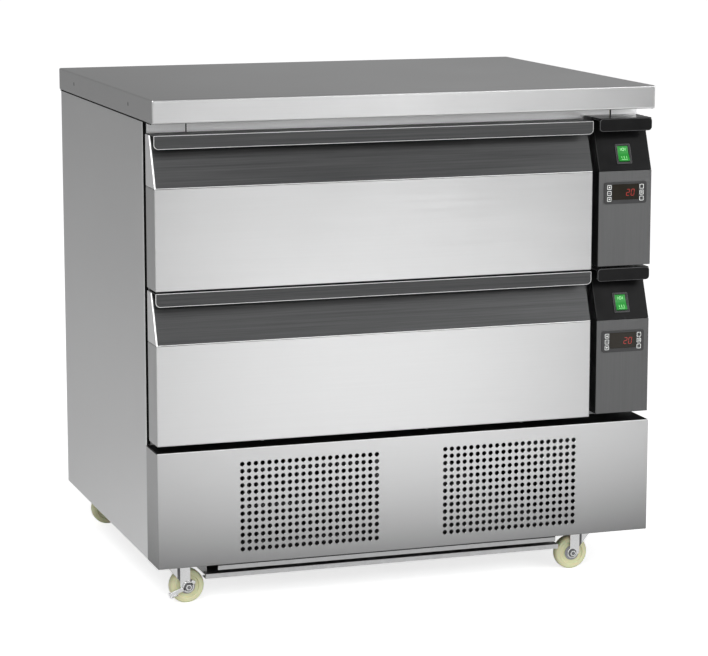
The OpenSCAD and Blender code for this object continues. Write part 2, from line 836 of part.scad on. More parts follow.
module refrigerant_pipes() {
    stub_top = compressor_top + stub_h;
    feed_y = condenser_y + condenser_t / 2;
    color("#b87345") for (n = levels) {
        c = compressor_at[n];
        level = pipe_level[n];
        rise_z = window_mid_z[n];
        pipe([[c[0] + stub_x, c[1], stub_top], [c[0] + stub_x, c[1], level],
            [c[0] + stub_x, riser_y, level], [riser_x[n], riser_y, level],
            [riser_x[n], riser_y, rise_z], [riser_x[n], evap_y1, rise_z]]);
        feed_x = condenser_x + (n == lower ? -20 : condenser_w / 2 - 20);
        pipe([[c[0] - stub_x, c[1], stub_top], [c[0] - stub_x, c[1], level],
            [c[0] - stub_x, feed_y, level], [feed_x, feed_y, level], [feed_x, feed_y, condenser_top]]);
    }
}

module caster_plate(at) {
    bolt_at = caster_plate_w / 2 - 9;
    bolt_r = 5.5;
    bolt_h = 3.5;
    head_h = 2;
    plate_z = chassis_z - caster_plate_t;
    translate([at[0], at[1], 0]) {
        slab(caster_plate_w, caster_plate_w, plate_z, chassis_z);
        translate([0, 0, race_z]) cylinder(h = race_h + cut, r = race_r);
        // King pin with its riveted head under the fork's crown
        translate([0, 0, crown_z - fit_gap]) cylinder(h = crown_t + 2 * fit_gap + cut, r = king_pin_r);
        translate([0, 0, crown_z - fit_gap - head_h]) cylinder(h = head_h, r = king_pin_r + 3);
        for (x = sides, y = sides) translate([x * bolt_at, y * bolt_at, plate_z - bolt_h])
            cylinder(h = bolt_h + cut, r = bolt_r, $fn = 6);
    }
}

module caster_plates() {
    color("#c5c8ca") for (at = caster_at) caster_plate(at);
}

// Caster frame: swivel axis at the origin, wheel trailing along X
module at_caster(k) {
    translate([caster_at[k][0], caster_at[k][1], 0]) rotate(caster_turn[k]) children();
}

// Cheek outline: a strap that leans back to the crown and has a chamfered foot
module cheek_outline() {
    foot = cheek_half / 2;
    top = crown_top - axle_z;
    translate([trail, axle_z])
        polygon([[-foot, -cheek_half], [foot, -cheek_half], [cheek_half, -foot], [cheek_half, foot],
            [foot, cheek_half], [foot, top], [-cheek_half - foot, top], [-cheek_half - foot, 0]]);
}

module gusset_outline() {
    polygon([[4 - race_r, crown_top], [trail, crown_top], [trail, axle_z],
        [trail - cheek_half, axle_z + 4]]);
}

module fork(k) {
    ear = cheek_v + cheek_t;
    near_end = caster_braked[k] ? ear + pedal_room : ear;
    color("#c9ccce") at_caster(k) {
        difference() {
            union() {
                translate([0, 0, crown_z]) cylinder(h = crown_t, r = race_r);
                block([0, -ear, crown_z], [trail + cheek_half, ear, crown_top]);
            }
            translate([0, 0, crown_z - cut]) cylinder(h = crown_t + 2 * cut, r = king_pin_r + run_gap);
        }
        for (s = sides) {
            along_y(s > 0 ? cheek_v : -ear, cheek_t, 0, 0) cheek_outline();
            along_y(s > 0 ? cheek_v : -cheek_v - cheek_t / 2, cheek_t / 2, 0, 0) gusset_outline();
        }
        along_y(-near_end, near_end + ear, trail, axle_z) circle(axle_r);
        along_y(-near_end - nut_h, nut_h, trail, axle_z) circle(nut_r, $fn = 6);
        along_y(ear, nut_h, trail, axle_z) circle(nut_r, $fn = 6);
    }
}

// Wheel about its axle: rounded tread, dished sides and a hub as wide as the fork allows
module wheel(k) {
    r = wheel_d / 2;
    half = wheel_w / 2;
    edge = 4;
    bevel = edge * 0.3;
    rim = 9;
    hub = axle_r + 5;
    dish = 2.5;
    color("#e3e3b4") at_caster(k) translate([trail, 0, axle_z]) rotate([90, 0, 0])
        rotate_extrude($fn = 72)
            polygon([[axle_r + run_gap, -half], [hub, -half], [hub + 2, -half + dish],
                [r - rim, -half + dish], [r - rim + 2, -half], [r - edge, -half],
                [r - bevel, -half + bevel], [r, -half + edge],
                [r, half - edge], [r - bevel, half - bevel], [r - edge, half],
                [r - rim + 2, half], [r - rim, half - dish], [hub + 2, half - dish], [hub, half],
                [axle_r + run_gap, half]]);
}

// Foot lever beside the fork, with a foot tab on one arm and a release tab on the other
module brake_pedal(k) {
    arm = 7;
    tab_w = 12;
    release_l = 15;
    color("#d4d6d8") at_caster(k) translate([trail, -pedal_v, axle_z]) rotate([0, -pedal_drop[k], 0])
        difference() {
            union() {
                along_y(-pedal_t, pedal_t, 0, 0) {
                    circle(10);
                    translate([-pedal_l, -arm / 2]) square([pedal_l, arm]);
                    rotate(20) translate([0, -arm / 2]) square([release_l, arm]);
                }
                block([-pedal_l, -tab_w, -arm / 2], [-pedal_l + 14, 0, -arm / 2 + 2.5]);
            }
            along_y(-pedal_t - cut, pedal_t + 2 * cut, 0, 0) circle(axle_r + run_gap);
        }
}

// Moulded lip along a module's top edge, joined to the housing by a top plate
module module_lip(n) {
    z1 = module_z[n] + module_h;
    along_y(door_y, module_lip_t, module_x0, z1 - lip_h) round_rect(module_w, lip_h, module_lip_r, true);
    block([module_x0, door_y + module_lip_t - cut, z1 - module_wall - 1],
        [module_x1, door_y + band_recess + module_wall, z1]);
}

module module_housings() {
    depth = face_y - door_y;
    color("#1d1e20") for (n = levels) difference() {
        union() {
            along_x(module_x0, module_x1, door_y, module_z[n])
                polygon(front_outline(depth, module_h, module_face_h));
            module_lip(n);
        }
        along_x(module_x0 + module_wall, module_x1 - module_wall, door_y, module_z[n])
            polygon(front_outline(depth, module_h, module_face_h, module_wall + plate_t, cut));
        block([module_x0 - cut, door_y - cut, module_z[n] - cut],
            [module_x1 + cut, door_y + plate_t, module_z[n] + module_face_h]);
        on_module_face(n) slab(controller_w - 8, controller_h - 6, -30, cut);
        on_module_band(n) slab(switch_w - 4, switch_h - 4, -16, cut);
    }
}

module module_faces() {
    color("#6a6c6e") for (n = levels) difference() {
        block([module_x0, door_y, module_z[n]],
            [module_x1, door_y + plate_t, module_z[n] + module_face_h]);
        on_module_face(n) slab(controller_w - 8, controller_h - 6, -plate_t - cut, cut);
    }
}

// Bezel with a body through the housing's band and a well for the rocker
module switch_bezels() {
    well = 14;
    color("#2a2b2d") for (n = levels) on_module_band(n) difference() {
        union() {
            slab(switch_w, switch_h, 0, bezel_t);
            slab(switch_w - 4 - fit_gap, switch_h - 4 - fit_gap, -well, cut);
        }
        slab(rocker_w + 1, rocker_h + 1.6, -well - cut, bezel_t + cut);
        translate([0, 0, -rocker_depth]) rotate([0, 90, 0])
            cylinder(h = rocker_w + 3.6, r = rocker_pin_r + run_gap, center = true);
    }
}

// Rocker in the shape of a shallow V on two pivot pins
module rocker(n) {
    half = rocker_h / 2;
    color("#1fae45") on_module_band(n) translate([0, 0, -rocker_depth]) rotate([-rocker_tilt, 0, 0]) {
        translate([-rocker_w / 2, 0, 0]) rotate([90, 0, 90]) linear_extrude(rocker_w)
            polygon([[-half, -3], [-half, rocker_depth + 2.4], [0, rocker_depth + 0.6],
                [half, rocker_depth + 2.4], [half, -3]]);
        rotate([0, 90, 0]) cylinder(h = rocker_w + 3, r = rocker_pin_r, center = true);
    }
}

// Middle of key k, numbered down the left side and then the right side
function key_x(k) = (k < 3 ? -1 : 1) * (controller_w / 2 - 5.5 - key_w / 2);
function key_y(k) = (1 - k % 3) * key_pitch;

module controllers() {
    window_w = controller_w - 2 * key_w - 14;
    key_floor = 1;
    side_gap = 0.25;
    color("#303234") for (n = levels) on_module_face(n) difference() {
        union() {
            translate([-controller_w / 2, -controller_h / 2, 0]) linear_extrude(bezel_t)
                round_rect(controller_w, controller_h, 4, true);
            slab(controller_w - 8 - fit_gap, controller_h - 6 - fit_gap, -controller_depth, cut);
        }
        translate([0, 1.5, 0]) slab(window_w, 28, bezel_t - 0.6, bezel_t + cut);
        for (k = [0:5]) translate([key_x(k), key_y(k), 0])
            slab(key_w + 2 * side_gap, key_h + 2 * side_gap, -key_floor, bezel_t + cut);
    }
}

module key(n, k) {
    color("#c8cac8") on_module_face(n) translate([key_x(k), key_y(k), 0])
        slab(key_w, key_h, -1 + key_travel + 0.05, bezel_t + 0.1);
}

module drawer_skin(n) {
    color("#d2d4d6") difference() {
        along_x(front_x0, front_x1, door_y, front_z[n]) polygon(front_outline(front_t, skin_h, face_h));
        along_x(front_x0 + sheet, front_x1 - sheet, door_y, front_z[n])
            polygon(front_outline(front_t, skin_h, face_h, sheet, cut));
    }
}

module drawer_handle(n) {
    z1 = front_z[n] + front_h;
    color("#5b5d60") {
        along_y(door_y, lip_t, front_x0, z1 - lip_h) round_rect(front_w, lip_h, lip_r, false);
        block([front_x0, door_y, z1 - lip_t], [front_x1, door_y + band_recess + lip_seat, z1]);
    }
}

// Foamed core with the flat back of the drawer front
module drawer_core(n) {
    color("#dcdcd8") along_x(front_x0 + sheet, front_x1 - sheet, door_y, front_z[n])
        polygon(front_outline(front_t, skin_h, face_h, sheet));
}

// Ring about the compartment's opening, moved in from the drawer front's edge by a
module gasket_ring(n, a, w, y0, y1) {
    difference() {
        block([front_x0 + a, y0, front_z[n] + a], [front_x1 - a, y1, front_z[n] + front_h - a]);
        block([front_x0 + a + w, y0 - cut, front_z[n] + a + w],
            [front_x1 - a - w, y1 + cut, front_z[n] + front_h - a - w]);
    }
}

module drawer_gasket(n) {
    y1 = face_y - gasket_gap;
    step_y = y1 - 4;
    color("#26282a") {
        gasket_ring(n, gasket_inset, gasket_w, door_back_y, step_y);
        gasket_ring(n, gasket_inset + 2, gasket_w - 5, step_y, y1);
    }
}

// Carries its children on both compartment walls, with x from the liner inwards
module on_liner_walls(n) {
    for (s = sides) translate([room_mid_x, 0, slide_z[n]]) mirror([s > 0 ? 1 : 0, 0, 0])
        translate([room_x0 + liner_t - room_mid_x, 0, 0]) children();
}

// Channel that opens towards the drawer, the given number of steps inside the outer rail
module slide_channel(step, x1) {
    x0 = step * slide_step;
    half = slide_h / 2 - step * slide_step;
    difference() {
        block([x0, slide_y0, -half], [x1, frame_y1, half]);
        block([x0 + slide_wall, slide_y0 - cut, slide_wall - half],
            [x1 + cut, frame_y1 + cut, half - slide_wall]);
    }
}

module slide_outer_rails() {
    color("#b5b8bb") for (n = levels) on_liner_walls(n) slide_channel(0, slide_w);
}

module slide_mids(n) {
    color("#bcbfc2") on_liner_walls(n) slide_channel(1, slide_w);
}

// Frame for two pans, with the inner slide members on its sides
module drawer_frame(n) {
    z1 = rim_z[n];
    z0 = z1 - frame_wall_h;
    bar = pan_bar_w / 2;
    color("#c4c7ca") {
        difference() {
            block([frame_x0, door_back_y, z0], [frame_x1, frame_y1, z1]);
            block([frame_x0 + frame_t, door_back_y + frame_t, z0 - cut],
                [frame_x1 - frame_t, frame_y1 - frame_t, z1 - frame_t]);
            for (x = [[frame_x0 + ledge_w, room_mid_x - bar], [room_mid_x + bar, frame_x1 - ledge_w]])
                block([x[0], door_back_y + ledge_w, z0 - cut], [x[1], frame_y1 - ledge_w, z1 + cut]);
        }
        for (x = [room_mid_x - bar, room_mid_x + bar - frame_t])
            block([x, door_back_y, z1 - pan_bar_h], [x + frame_t, frame_y1, z1]);
        on_liner_walls(n) slide_channel(2, slide_space);
    }
}

// Rivets of the worktop and back panel, and the screws on the base panel's top fold
module panel_screws() {
    head_h = 1.8;
    color("#dcdee0") {
        worktop_rivets(0);
        back_rivets(panel_y, sheet, screw_r);
        back_rivets(back_y, head_h, rivet_r);
        base_screws(deck_z, base_top, screw_r);
        base_screws(base_top, base_top + head_h, rivet_r);
    }
}

worktop();
left_side_panel();
right_side_panel();
back_panel();
cabinet_insulation();
compartment_liners();
front_frame();
base_panel();
base_chassis();
unit_tray();
compressors();
condenser();
evaporators();
refrigerant_pipes();
caster_plates();
module_housings();
module_faces();
controllers();
switch_bezels();
slide_outer_rails();
panel_screws();
condenser_fan();
evaporator_fan(lower);  // evaporator_fan_lower
evaporator_fan(upper);  // evaporator_fan_upper
rocker(lower);  // rocker_lower
rocker(upper);  // rocker_upper
for (k = [0:5]) {
    key(lower, k);
    key(upper, k);
}
drawer_skin(lower);  // drawer_skin_lower
drawer_skin(upper);  // drawer_skin_upper
drawer_handle(lower);  // drawer_handle_lower
drawer_handle(upper);  // drawer_handle_upper
drawer_core(lower);  // drawer_core_lower
drawer_core(upper);  // drawer_core_upper
drawer_gasket(lower);  // drawer_gasket_lower
drawer_gasket(upper);  // drawer_gasket_upper
drawer_frame(lower);  // drawer_frame_lower
drawer_frame(upper);  // drawer_frame_upper
slide_mids(lower);  // slide_mids_lower
slide_mids(upper);  // slide_mids_upper
fork(0);  // fork_front_left
fork(1);  // fork_front_right
fork(2);  // fork_rear_left
fork(3);  // fork_rear_right
wheel(0);  // wheel_front_left
wheel(1);  // wheel_front_right
wheel(2);  // wheel_rear_left
wheel(3);  // wheel_rear_right
brake_pedal(0);  // brake_pedal_left
brake_pedal(1);  // brake_pedal_right
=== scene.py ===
import bpy
import math
import numpy as np
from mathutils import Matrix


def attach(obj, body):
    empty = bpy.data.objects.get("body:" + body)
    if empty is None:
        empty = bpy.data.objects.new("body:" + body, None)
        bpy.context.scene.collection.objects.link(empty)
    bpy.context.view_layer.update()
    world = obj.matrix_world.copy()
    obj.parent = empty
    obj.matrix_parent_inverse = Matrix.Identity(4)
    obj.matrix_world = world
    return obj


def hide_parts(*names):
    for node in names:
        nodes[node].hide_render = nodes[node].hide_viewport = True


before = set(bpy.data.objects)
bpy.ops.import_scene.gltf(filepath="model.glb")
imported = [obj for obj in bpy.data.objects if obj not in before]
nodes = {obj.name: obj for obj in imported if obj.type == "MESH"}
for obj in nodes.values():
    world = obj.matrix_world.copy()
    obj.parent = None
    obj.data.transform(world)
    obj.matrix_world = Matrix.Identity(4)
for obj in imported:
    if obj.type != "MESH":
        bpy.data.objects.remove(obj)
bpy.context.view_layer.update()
levels = ("lower", "upper")
sides = (-1, 1)
edgeSupport = 0.0004  # how far a support point stands from the bend it holds
smallestRadius = 3e-5
print("stage: frame loaded,", len(nodes), "nodes")


# Settings of one piece: a dictionary whose values can also be read as s.name
class Settings(dict):
    __getattr__ = dict.__getitem__


# Quads over a grid of rows and columns, each wrapping round where it is closed
def gridQuads(rows, cols, closeRows=False, closeCols=False):
    r = np.arange(rows if closeRows else rows - 1)[:, None]
    c = np.arange(cols if closeCols else cols - 1)[None, :]
    nextR, nextC = (r + 1) % rows, (c + 1) % cols
    quads = [r * cols + c, r * cols + nextC, nextR * cols + nextC, nextR * cols + c]
    return np.stack(quads, -1).reshape(-1, 4)


# Sends (across, up, out) to the row frame, where out is across x up
def planeAt(origin, across, up):
    basis = np.array([across, up, np.cross(across, up)], float)
    start = np.array(origin, float)
    return lambda local: start + np.asarray(local, float) @ basis


# Upright plane that faces the front: across goes to the right side, up goes up
def frontAt(x, y, z):
    return planeAt((x, y, z), (1, 0, 0), (0, 0, 1))


# Upright plane that faces the back: across goes to the left side, up goes up
def backAt(x, y, z):
    return planeAt((x, y, z), (-1, 0, 0), (0, 0, 1))


# Level plane that faces up: across goes to the right side, up goes to the back
def topAt(x, y, z):
    return planeAt((x, y, z), (1, 0, 0), (0, 1, 0))


# Upright plane that leans back by an angle
def slopeAt(x, y, z, lean):
    return planeAt((x, y, z), (1, 0, 0), (0, math.sin(lean), math.cos(lean)))


# Corners of a rectangle, anticlockwise from its lower left
def rectangle(x0, y0, x1, y1):
    return [[x0, y0], [x1, y0], [x1, y1], [x0, y1]]


# Rectangle about the origin, by its half width and half height
def centred(halfW, halfH):
    return rectangle(-halfW, -halfH, halfW, halfH)


# Two lines for each middle, half a width to either side of it
def edgesAround(middles, half):
    return [middle + side * half for middle in middles for side in sides]


# Outline with round corners: each edge moves in by inset, neighbours meet at new corners, and an
# arc of the corner's radius less the inset turns there, with a support point before and after it
def roundOutline(corners, radii, inset=0.0, steps=5, support=edgeSupport):
    c = np.asarray(corners, float)
    ahead = np.roll(c, -1, 0) - c
    ahead /= np.linalg.norm(ahead, axis=1, keepdims=True)
    inward = np.stack([-ahead[:, 1], ahead[:, 0]], 1)
    came, before = np.roll(ahead, 1, 0), np.roll(inward, 1, 0)
    cross = came[:, 0] * ahead[:, 1] - came[:, 1] * ahead[:, 0]
    turn = np.arctan2(cross, (came * ahead).sum(1))
    bisector = (before + inward) / (1 + (before * inward).sum(1, keepdims=True))
    side = np.sign(turn)
    radius = np.maximum(np.broadcast_to(radii, len(c)) - side * inset, smallestRadius) * side
    centre = c + (inset + radius)[:, None] * bisector
    start = np.arctan2(before[:, 1], before[:, 0])[:, None]
    angle = start + turn[:, None] * np.linspace(0, 1, steps + 1)
    arc = centre[:, None] - radius[:, None, None] * np.stack([np.cos(angle), np.sin(angle)], -1)
    first = arc[:, :1] - support * came[:, None]
    last = arc[:, -1:] + support * ahead[:, None]
    return np.concatenate([first, arc, last], 1).reshape(-1, 2)


# Lifts every point of a flat loop to one height
def atHeight(loop, height):
    return np.column_stack([loop, np.full(len(loop), height)])


# Surface through loops of equal length, one ring after another, closed by a face at each end
def loft(loops, place, closed=False):
    rows, cols = len(loops), len(loops[0])
    faces = gridQuads(rows, cols, closed, True).tolist()
    if not closed:
        faces += [list(range(cols))[::-1], list(range((rows - 1) * cols, rows * cols))]
    return place(np.concatenate(loops)), faces


# Stack of rings: ring k is the outline moved in by its inset and lifted to its height
def ringStack(corners, radii, rings, place, steps=5, closed=False, support=edgeSupport):
    loops = [atHeight(roundOutline(corners, radii, inset, steps, support), height)
             for inset, height in rings]
    return loft(loops, place, closed)


# Rings of a plate from its back to its front: a quarter round at either edge, with support rings
def edgeRings(low, high, frontBevel, backBevel, support, steps=3):
    a = np.linspace(0, math.pi / 2, steps + 1)
    back = [backBevel * (1 - np.sin(a)), low + backBevel * (1 - np.cos(a))]
    front = [frontBevel * (1 - np.cos(a)), high - frontBevel * (1 - np.sin(a))]
    rings = [[backBevel + support, low], *np.column_stack(back)]
    if high - low > frontBevel + backBevel + 2.5 * support:
        rings += [[0, low + backBevel + support], [0, high - frontBevel - support]]
    return rings + [*np.column_stack(front), [frontBevel + support, high]]


# Plate: an outline with round corners from low to high, with a bevel at its front and its back
def plate(corners, radii, low, high, bevel, place, backBevel=0.0003, steps=5,
          support=edgeSupport):
    rings = edgeRings(low, high, bevel, backBevel, 1.25 * support)
    return ringStack(corners, radii, rings, place, steps, support=support)


# Block between pairs of x, y and z; its support points stay clear of the middle where it is thin
def block(x, y, z, bevel):
    (x0, y0, z0), (x1, y1, z1) = np.sort([x, y, z], 1).T
    support = min(edgeSupport, 0.3 * (min(x1 - x0, y1 - y0) / 2 - bevel))
    return plate(rectangle(x0, y0, x1, y1), bevel, z0, z1, bevel, topAt(0, 0, 0), bevel, 2,
                 support)


# Surface of revolution: each profile point (radius, height) is carried round the out axis
def lathe(profile, place, steps=48, closed=False):
    angle = np.arange(steps) * 2 * math.pi / steps
    circle = np.column_stack([np.cos(angle), np.sin(angle)])
    return loft([atHeight(radius * circle, height) for radius, height in profile], place, closed)


# Ring or disc turned from a rounded outline in (radius, height)
def turned(corners, radii, place, steps=48, arcSteps=3):
    return lathe(roundOutline(corners, radii, 0, arcSteps, edgeSupport / 2), place, steps, True)


# Hexagon with a small chamfer at its top and foot
def hexHead(radius, low, high, place):
    chamfer = radius * 0.08
    return lathe([[radius - chamfer, low], [radius, low + chamfer], [radius, high - chamfer],
                  [radius - chamfer, high]], place, 6)


# Flat cells on a grid of lines: shown cells get a face in front and behind, and walls stand where
# a solid cell meets a hole or the edge
def cellPanel(xs, ys, solid, shown, depth, place):
    count = len(xs) * len(ys)
    gx, gy = np.meshgrid(xs, ys)
    front = np.column_stack([gx.ravel(), gy.ravel(), np.zeros(count)])
    quads = gridQuads(len(ys), len(xs)).reshape(*solid.shape, 4)
    faces = [quads[shown], quads[shown][:, ::-1] + count]
    padded = np.pad(solid, 1)
    for shift, a, b in (((1, 0), 0, 1), ((-1, 0), 2, 3), ((0, -1), 1, 2), ((0, 1), 3, 0)):
        bare = padded & ~np.roll(padded, shift, (0, 1))
        edge = quads[bare[1:-1, 1:-1]]
        faces.append(np.column_stack([edge[:, [a, b]] + count, edge[:, [b, a]]]))
    return place(np.concatenate([front, front - [0, 0, depth]])), np.concatenate(faces).tolist()


# New object from its data, linked to the scene
def linkObject(name, data):
    made = bpy.data.objects.new(name, data)
    bpy.context.collection.objects.link(made)
    return made


# Joins the parts into one mesh, gives it its finish and lets it ride on its body
def addPiece(name, finish, parts, replaces=(), body="cabinet", sharp=33):
    faces, start = [], 0
    for points, polygons in parts:
        faces += [[i + start for i in polygon] for polygon in polygons]
        start += len(points)
    mesh = bpy.data.meshes.new(name)
    mesh.from_pydata(np.concatenate([points for points, _ in parts]).tolist(), [], faces)
    mesh.shade_smooth()
    mesh.set_sharp_from_angle(angle=math.radians(sharp))
    mesh.materials.append(finishes[finish])
    made = linkObject(name, mesh)
    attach(made, body)
    if replaces:
        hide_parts(*replaces)


# Links or sets each named input of a node
def feed(tree, node, inputs):
    for key, value in inputs.items():
        if isinstance(value, bpy.types.NodeSocket):
            tree.links.new(value, node.inputs[key])
        else:
            node.inputs[key].default_value = value


# Adds a shader node and gives back its outputs
def addNode(tree, kind, inputs=None, **settings):
    made = tree.nodes.new("ShaderNode" + kind)
    for key, value in settings.items():
        setattr(made, key, value)
    feed(tree, made, inputs or {})
    return made.outputs


# Math node: one operation on two values
def calculate(tree, operation, a, b):
    return addNode(tree, "Math", {0: a, 1: b}, operation=operation)[0]


# Fractal noise read at a place
def noise(tree, place, scale, detail, roughness=0.5):
    return addNode(tree, "TexNoise", {"Vector": place, "Scale": scale, "Detail": detail,
                                      "Roughness": roughness})[0]


# Group with named inputs, where None is a vector; build gives one socket for each output
def makeGroup(name, inputs, outputs, build):
    tree = bpy.data.node_groups.new(name, "ShaderNodeTree")
    for label, value in inputs.items():
        kind = "NodeSocketVector" if value is None else "NodeSocketFloat"
        socket = tree.interface.new_socket(label, in_out="INPUT", socket_type=kind)
        if value is not None:
            socket.default_value = value
    for label in outputs:
        tree.interface.new_socket(label, in_out="OUTPUT", socket_type="NodeSocketFloat")
    given, result = tree.nodes.new("NodeGroupInput"), tree.nodes.new("NodeGroupOutput")
    feed(tree, result, dict(zip(outputs, build(tree, given.outputs))))
    return tree


# Brushed grain along the local X: noise squeezed across the grain, with a broad cloud beside it
def buildBrushGrain(tree, given):
    across = given["Across"]
    scale = addNode(tree, "CombineXYZ", {0: given["Along"], 1: across, 2: across})[0]
    squeezed = addNode(tree, "VectorMath", {0: given["Place"], 1: scale}, operation="MULTIPLY")[0]
    return noise(tree, squeezed, 1.0, 4.0, 0.75), noise(tree, given["Place"], 5.0, 3.0, 0.55)


# Spangle of zinc: cells of one tone each, broken up by a fine noise
def buildSpangle(tree, given):
    cells = addNode(tree, "TexVoronoi", {"Vector": given["Place"], "Scale": given["Cells"]})
    tone = addNode(tree, "RGBToBW", {0: cells["Color"]})[0]
    return tone, noise(tree, given["Place"], 900.0, 2.0)


# Moulded skin: fine pits for the bump, and slow patches of handling that change the gloss
def buildMouldSkin(tree, given):
    place = given["Place"]
    return noise(tree, place, given["Pits"], 2.0), noise(tree, place, 22.0, 4.0, 0.6)


# Painted light falloff: one less a share of the squared distance from the brightest place
def buildPaintedLightFalloff(tree, given):
    away = calculate(tree, "SUBTRACT", given["Coordinate"], given["Centre"])
    share = calculate(tree, "DIVIDE", away, given["Half"])
    square = calculate(tree, "MULTIPLY", share, share)
    return [calculate(tree, "SUBTRACT", 1.0, calculate(tree, "MULTIPLY", square, given["Depth"]))]


brushGrain = makeGroup("brushGrain", {"Place": None, "Along": 5.0, "Across": 420.0},
                       ["Streak", "Cloud"], buildBrushGrain)
spangle = makeGroup("spangle", {"Place": None, "Cells": 140.0}, ["Tone", "Fine"], buildSpangle)
mouldSkin = makeGroup("mouldSkin", {"Place": None, "Pits": 1600.0}, ["Height", "Handled"],
                      buildMouldSkin)
paintedLightFalloff = makeGroup("paintedLightFalloff", {"Coordinate": 0.0, "Centre": 0.0, "Half": 1.0, "Depth": 0.0},
                     ["Keep"], buildPaintedLightFalloff)


# New material with the object's own place, plain and turned to the grain
def startMaterial(name, turn=(0, 0, 0)):
    material = bpy.data.materials.new(name)
    material.use_nodes = True
    tree = material.node_tree
    plain = addNode(tree, "TexCoord")["Object"]
    rotation = tuple(math.radians(t) for t in turn)
    place = addNode(tree, "Mapping", {"Vector": plain, "Rotation": rotation})[0]
    return material, tree, place, plain


# Colour and gloss, a faint bump from a height, and values that are the same all over
def setSurface(tree, colour, gloss, height, bump, distance, values):
    raised = addNode(tree, "Bump", {"Height": height, "Strength": bump, "Distance": distance})[0]
    feed(tree, tree.nodes["Principled BSDF"],
         {"Base Color": colour, "Roughness": gloss, "Normal": raised, **values})


# Goes from the tone less its spread to the tone and its spread
def mixTones(tree, factor, tone, spread):
    dark, light = [max(t - spread, 0) for t in tone], [t + spread for t in tone]
    return addNode(tree, "Mix", {0: factor, 6: (*dark, 1), 7: (*light, 1)}, data_type="RGBA")[2]


# Stretches the range between two limits onto low to high, and holds it there
def mapValue(tree, value, low, high, fromLow=0.3, fromHigh=0.7):
    return addNode(tree, "MapRange", {"Value": value, "From Min": fromLow, "From Max": fromHigh,
                                      "To Min": low, "To Max": high})[0]


# Painted light falloff: darkens a colour away from the brightest place along one axis
def paintLightFalloff(tree, plain, colour, axis, centre, half, depth):
    along = addNode(tree, "SeparateXYZ", {0: plain})[axis]
    keep = addNode(tree, "Group", {"Coordinate": along, "Centre": centre, "Half": half,
                                   "Depth": depth}, node_tree=paintedLightFalloff)[0]
    return addNode(tree, "Mix", {0: 1.0, 6: colour, 7: keep}, data_type="RGBA",
                   blend_type="MULTIPLY")[2]


grainTurns = {"x": (0, 0, 0), "y": (0, 0, -90), "z": (0, 90, 0)}


# Brushed metal: the streaks tint the metal, change its gloss and raise a faint bump; painted light
# falloffs darken its colour away from a bright place
def brushedMetal(name, tone, spread, gloss, grain, bump, paintedFalloffs=(), across=420.0, along=5.0):
    material, tree, place, plain = startMaterial(name, grainTurns[grain])
    streak, cloud = addNode(tree, "Group", {"Place": place, "Along": along, "Across": across},
                            node_tree=brushGrain)
    colour = mixTones(tree, mapValue(tree, streak, 0, 1), tone, spread)
    for fade in paintedFalloffs:
        colour = paintLightFalloff(tree, plain, colour, *fade)
    rough = calculate(tree, "ADD", mapValue(tree, streak, *gloss),
                      mapValue(tree, cloud, -0.03, 0.04))
    setSurface(tree, colour, rough, streak, bump, 0.0004, {"Metallic": 1.0})
    return material


# Zinc coated metal: spangle cells change tone and gloss
def zincMetal(name, tone, spread, gloss, cells, relief=0.03):
    material, tree, place, _ = startMaterial(name)
    cell, fine = addNode(tree, "Group", {"Place": place, "Cells": cells}, node_tree=spangle)
    setSurface(tree, mixTones(tree, cell, tone, spread), mapValue(tree, cell, *gloss, 0, 1), fine,
               relief, 0.0002, {"Metallic": 0.9})
    return material


# Moulded or painted skin: handling changes tone and gloss, pits raise a faint bump
def mouldedSkin(name, tone, spread, gloss, pits=1600.0, bump=0.06, specular=0.5, coat=0.0):
    material, tree, place, _ = startMaterial(name)
    height, handled = addNode(tree, "Group", {"Place": place, "Pits": pits}, node_tree=mouldSkin)
    colour = mixTones(tree, mapValue(tree, handled, 0, 1), tone, spread)
    setSurface(tree, colour, mapValue(tree, handled, *gloss), height, bump, 0.0002,
               {"Coat Weight": coat, "Coat Roughness": 0.08, "Specular IOR Level": specular})
    return material


# Tone, spread, gloss, grain and bump; then painted light falloffs as axis, centre, half and depth,
# and the streaks
# The stainless finishes from topSteel to baseSteel are copies of one steel, each tone set lighter
# or darker for how light falls on its pieces: painted light and shade
brushedMetals = {
    "topSteel": ((0.70, 0.702, 0.704), 0.012, (0.30, 0.38), "x", 0.02, [("X", 0.25, 0.75, 0.26)]),
    "frontSteel": ((0.719, 0.721, 0.723), 0.012, (0.30, 0.38), "x", 0.02,
                   [("X", -0.157, 0.60, 0.38)]),
    "railSteel": ((0.94, 0.942, 0.944), 0.012, (0.30, 0.40), "x", 0.03),
    "faceSteel": ((0.775, 0.777, 0.779), 0.012, (0.30, 0.40), "x", 0.03,
                  [("X", -0.09, 0.40, 0.22), ("Z", 0.33, 0.42, 0.14)]),
    "wedgeSteel": ((0.96, 0.962, 0.964), 0.012, (0.30, 0.40), "z", 0.03),
    "sideSteel": ((0.87, 0.872, 0.874), 0.012, (0.32, 0.42), "z", 0.03,
                  [("Z", 0.10, 0.72, 0.20)]),
    "baseSteel": ((0.72, 0.722, 0.724), 0.012, (0.30, 0.42), "x", 0.03,
                  [("Z", 0.30, 0.225, 0.56), ("X", 0.0, 0.46, 0.22)]),
    "innerSteel": ((0.66, 0.67, 0.68), 0.02, (0.26, 0.34), "y", 0.03),
    # cutSteel: bright steel for thin lines that paint highlights on edges
    "cutSteel": ((0.88, 0.882, 0.884), 0.02, (0.26, 0.34), "x", 0.02),
    "bandSteel": ((0.079, 0.080, 0.081), 0.016, (0.34, 0.46), "x", 0.08, (), 300.0, 3.0),
    "plateSteel": ((0.135, 0.136, 0.137), 0.01, (0.38, 0.48), "z", 0.04, (), 500.0, 8.0),
    "copperPipe": ((0.55, 0.27, 0.16), 0.05, (0.28, 0.42), "x", 0.05, (), 90.0, 40.0)}

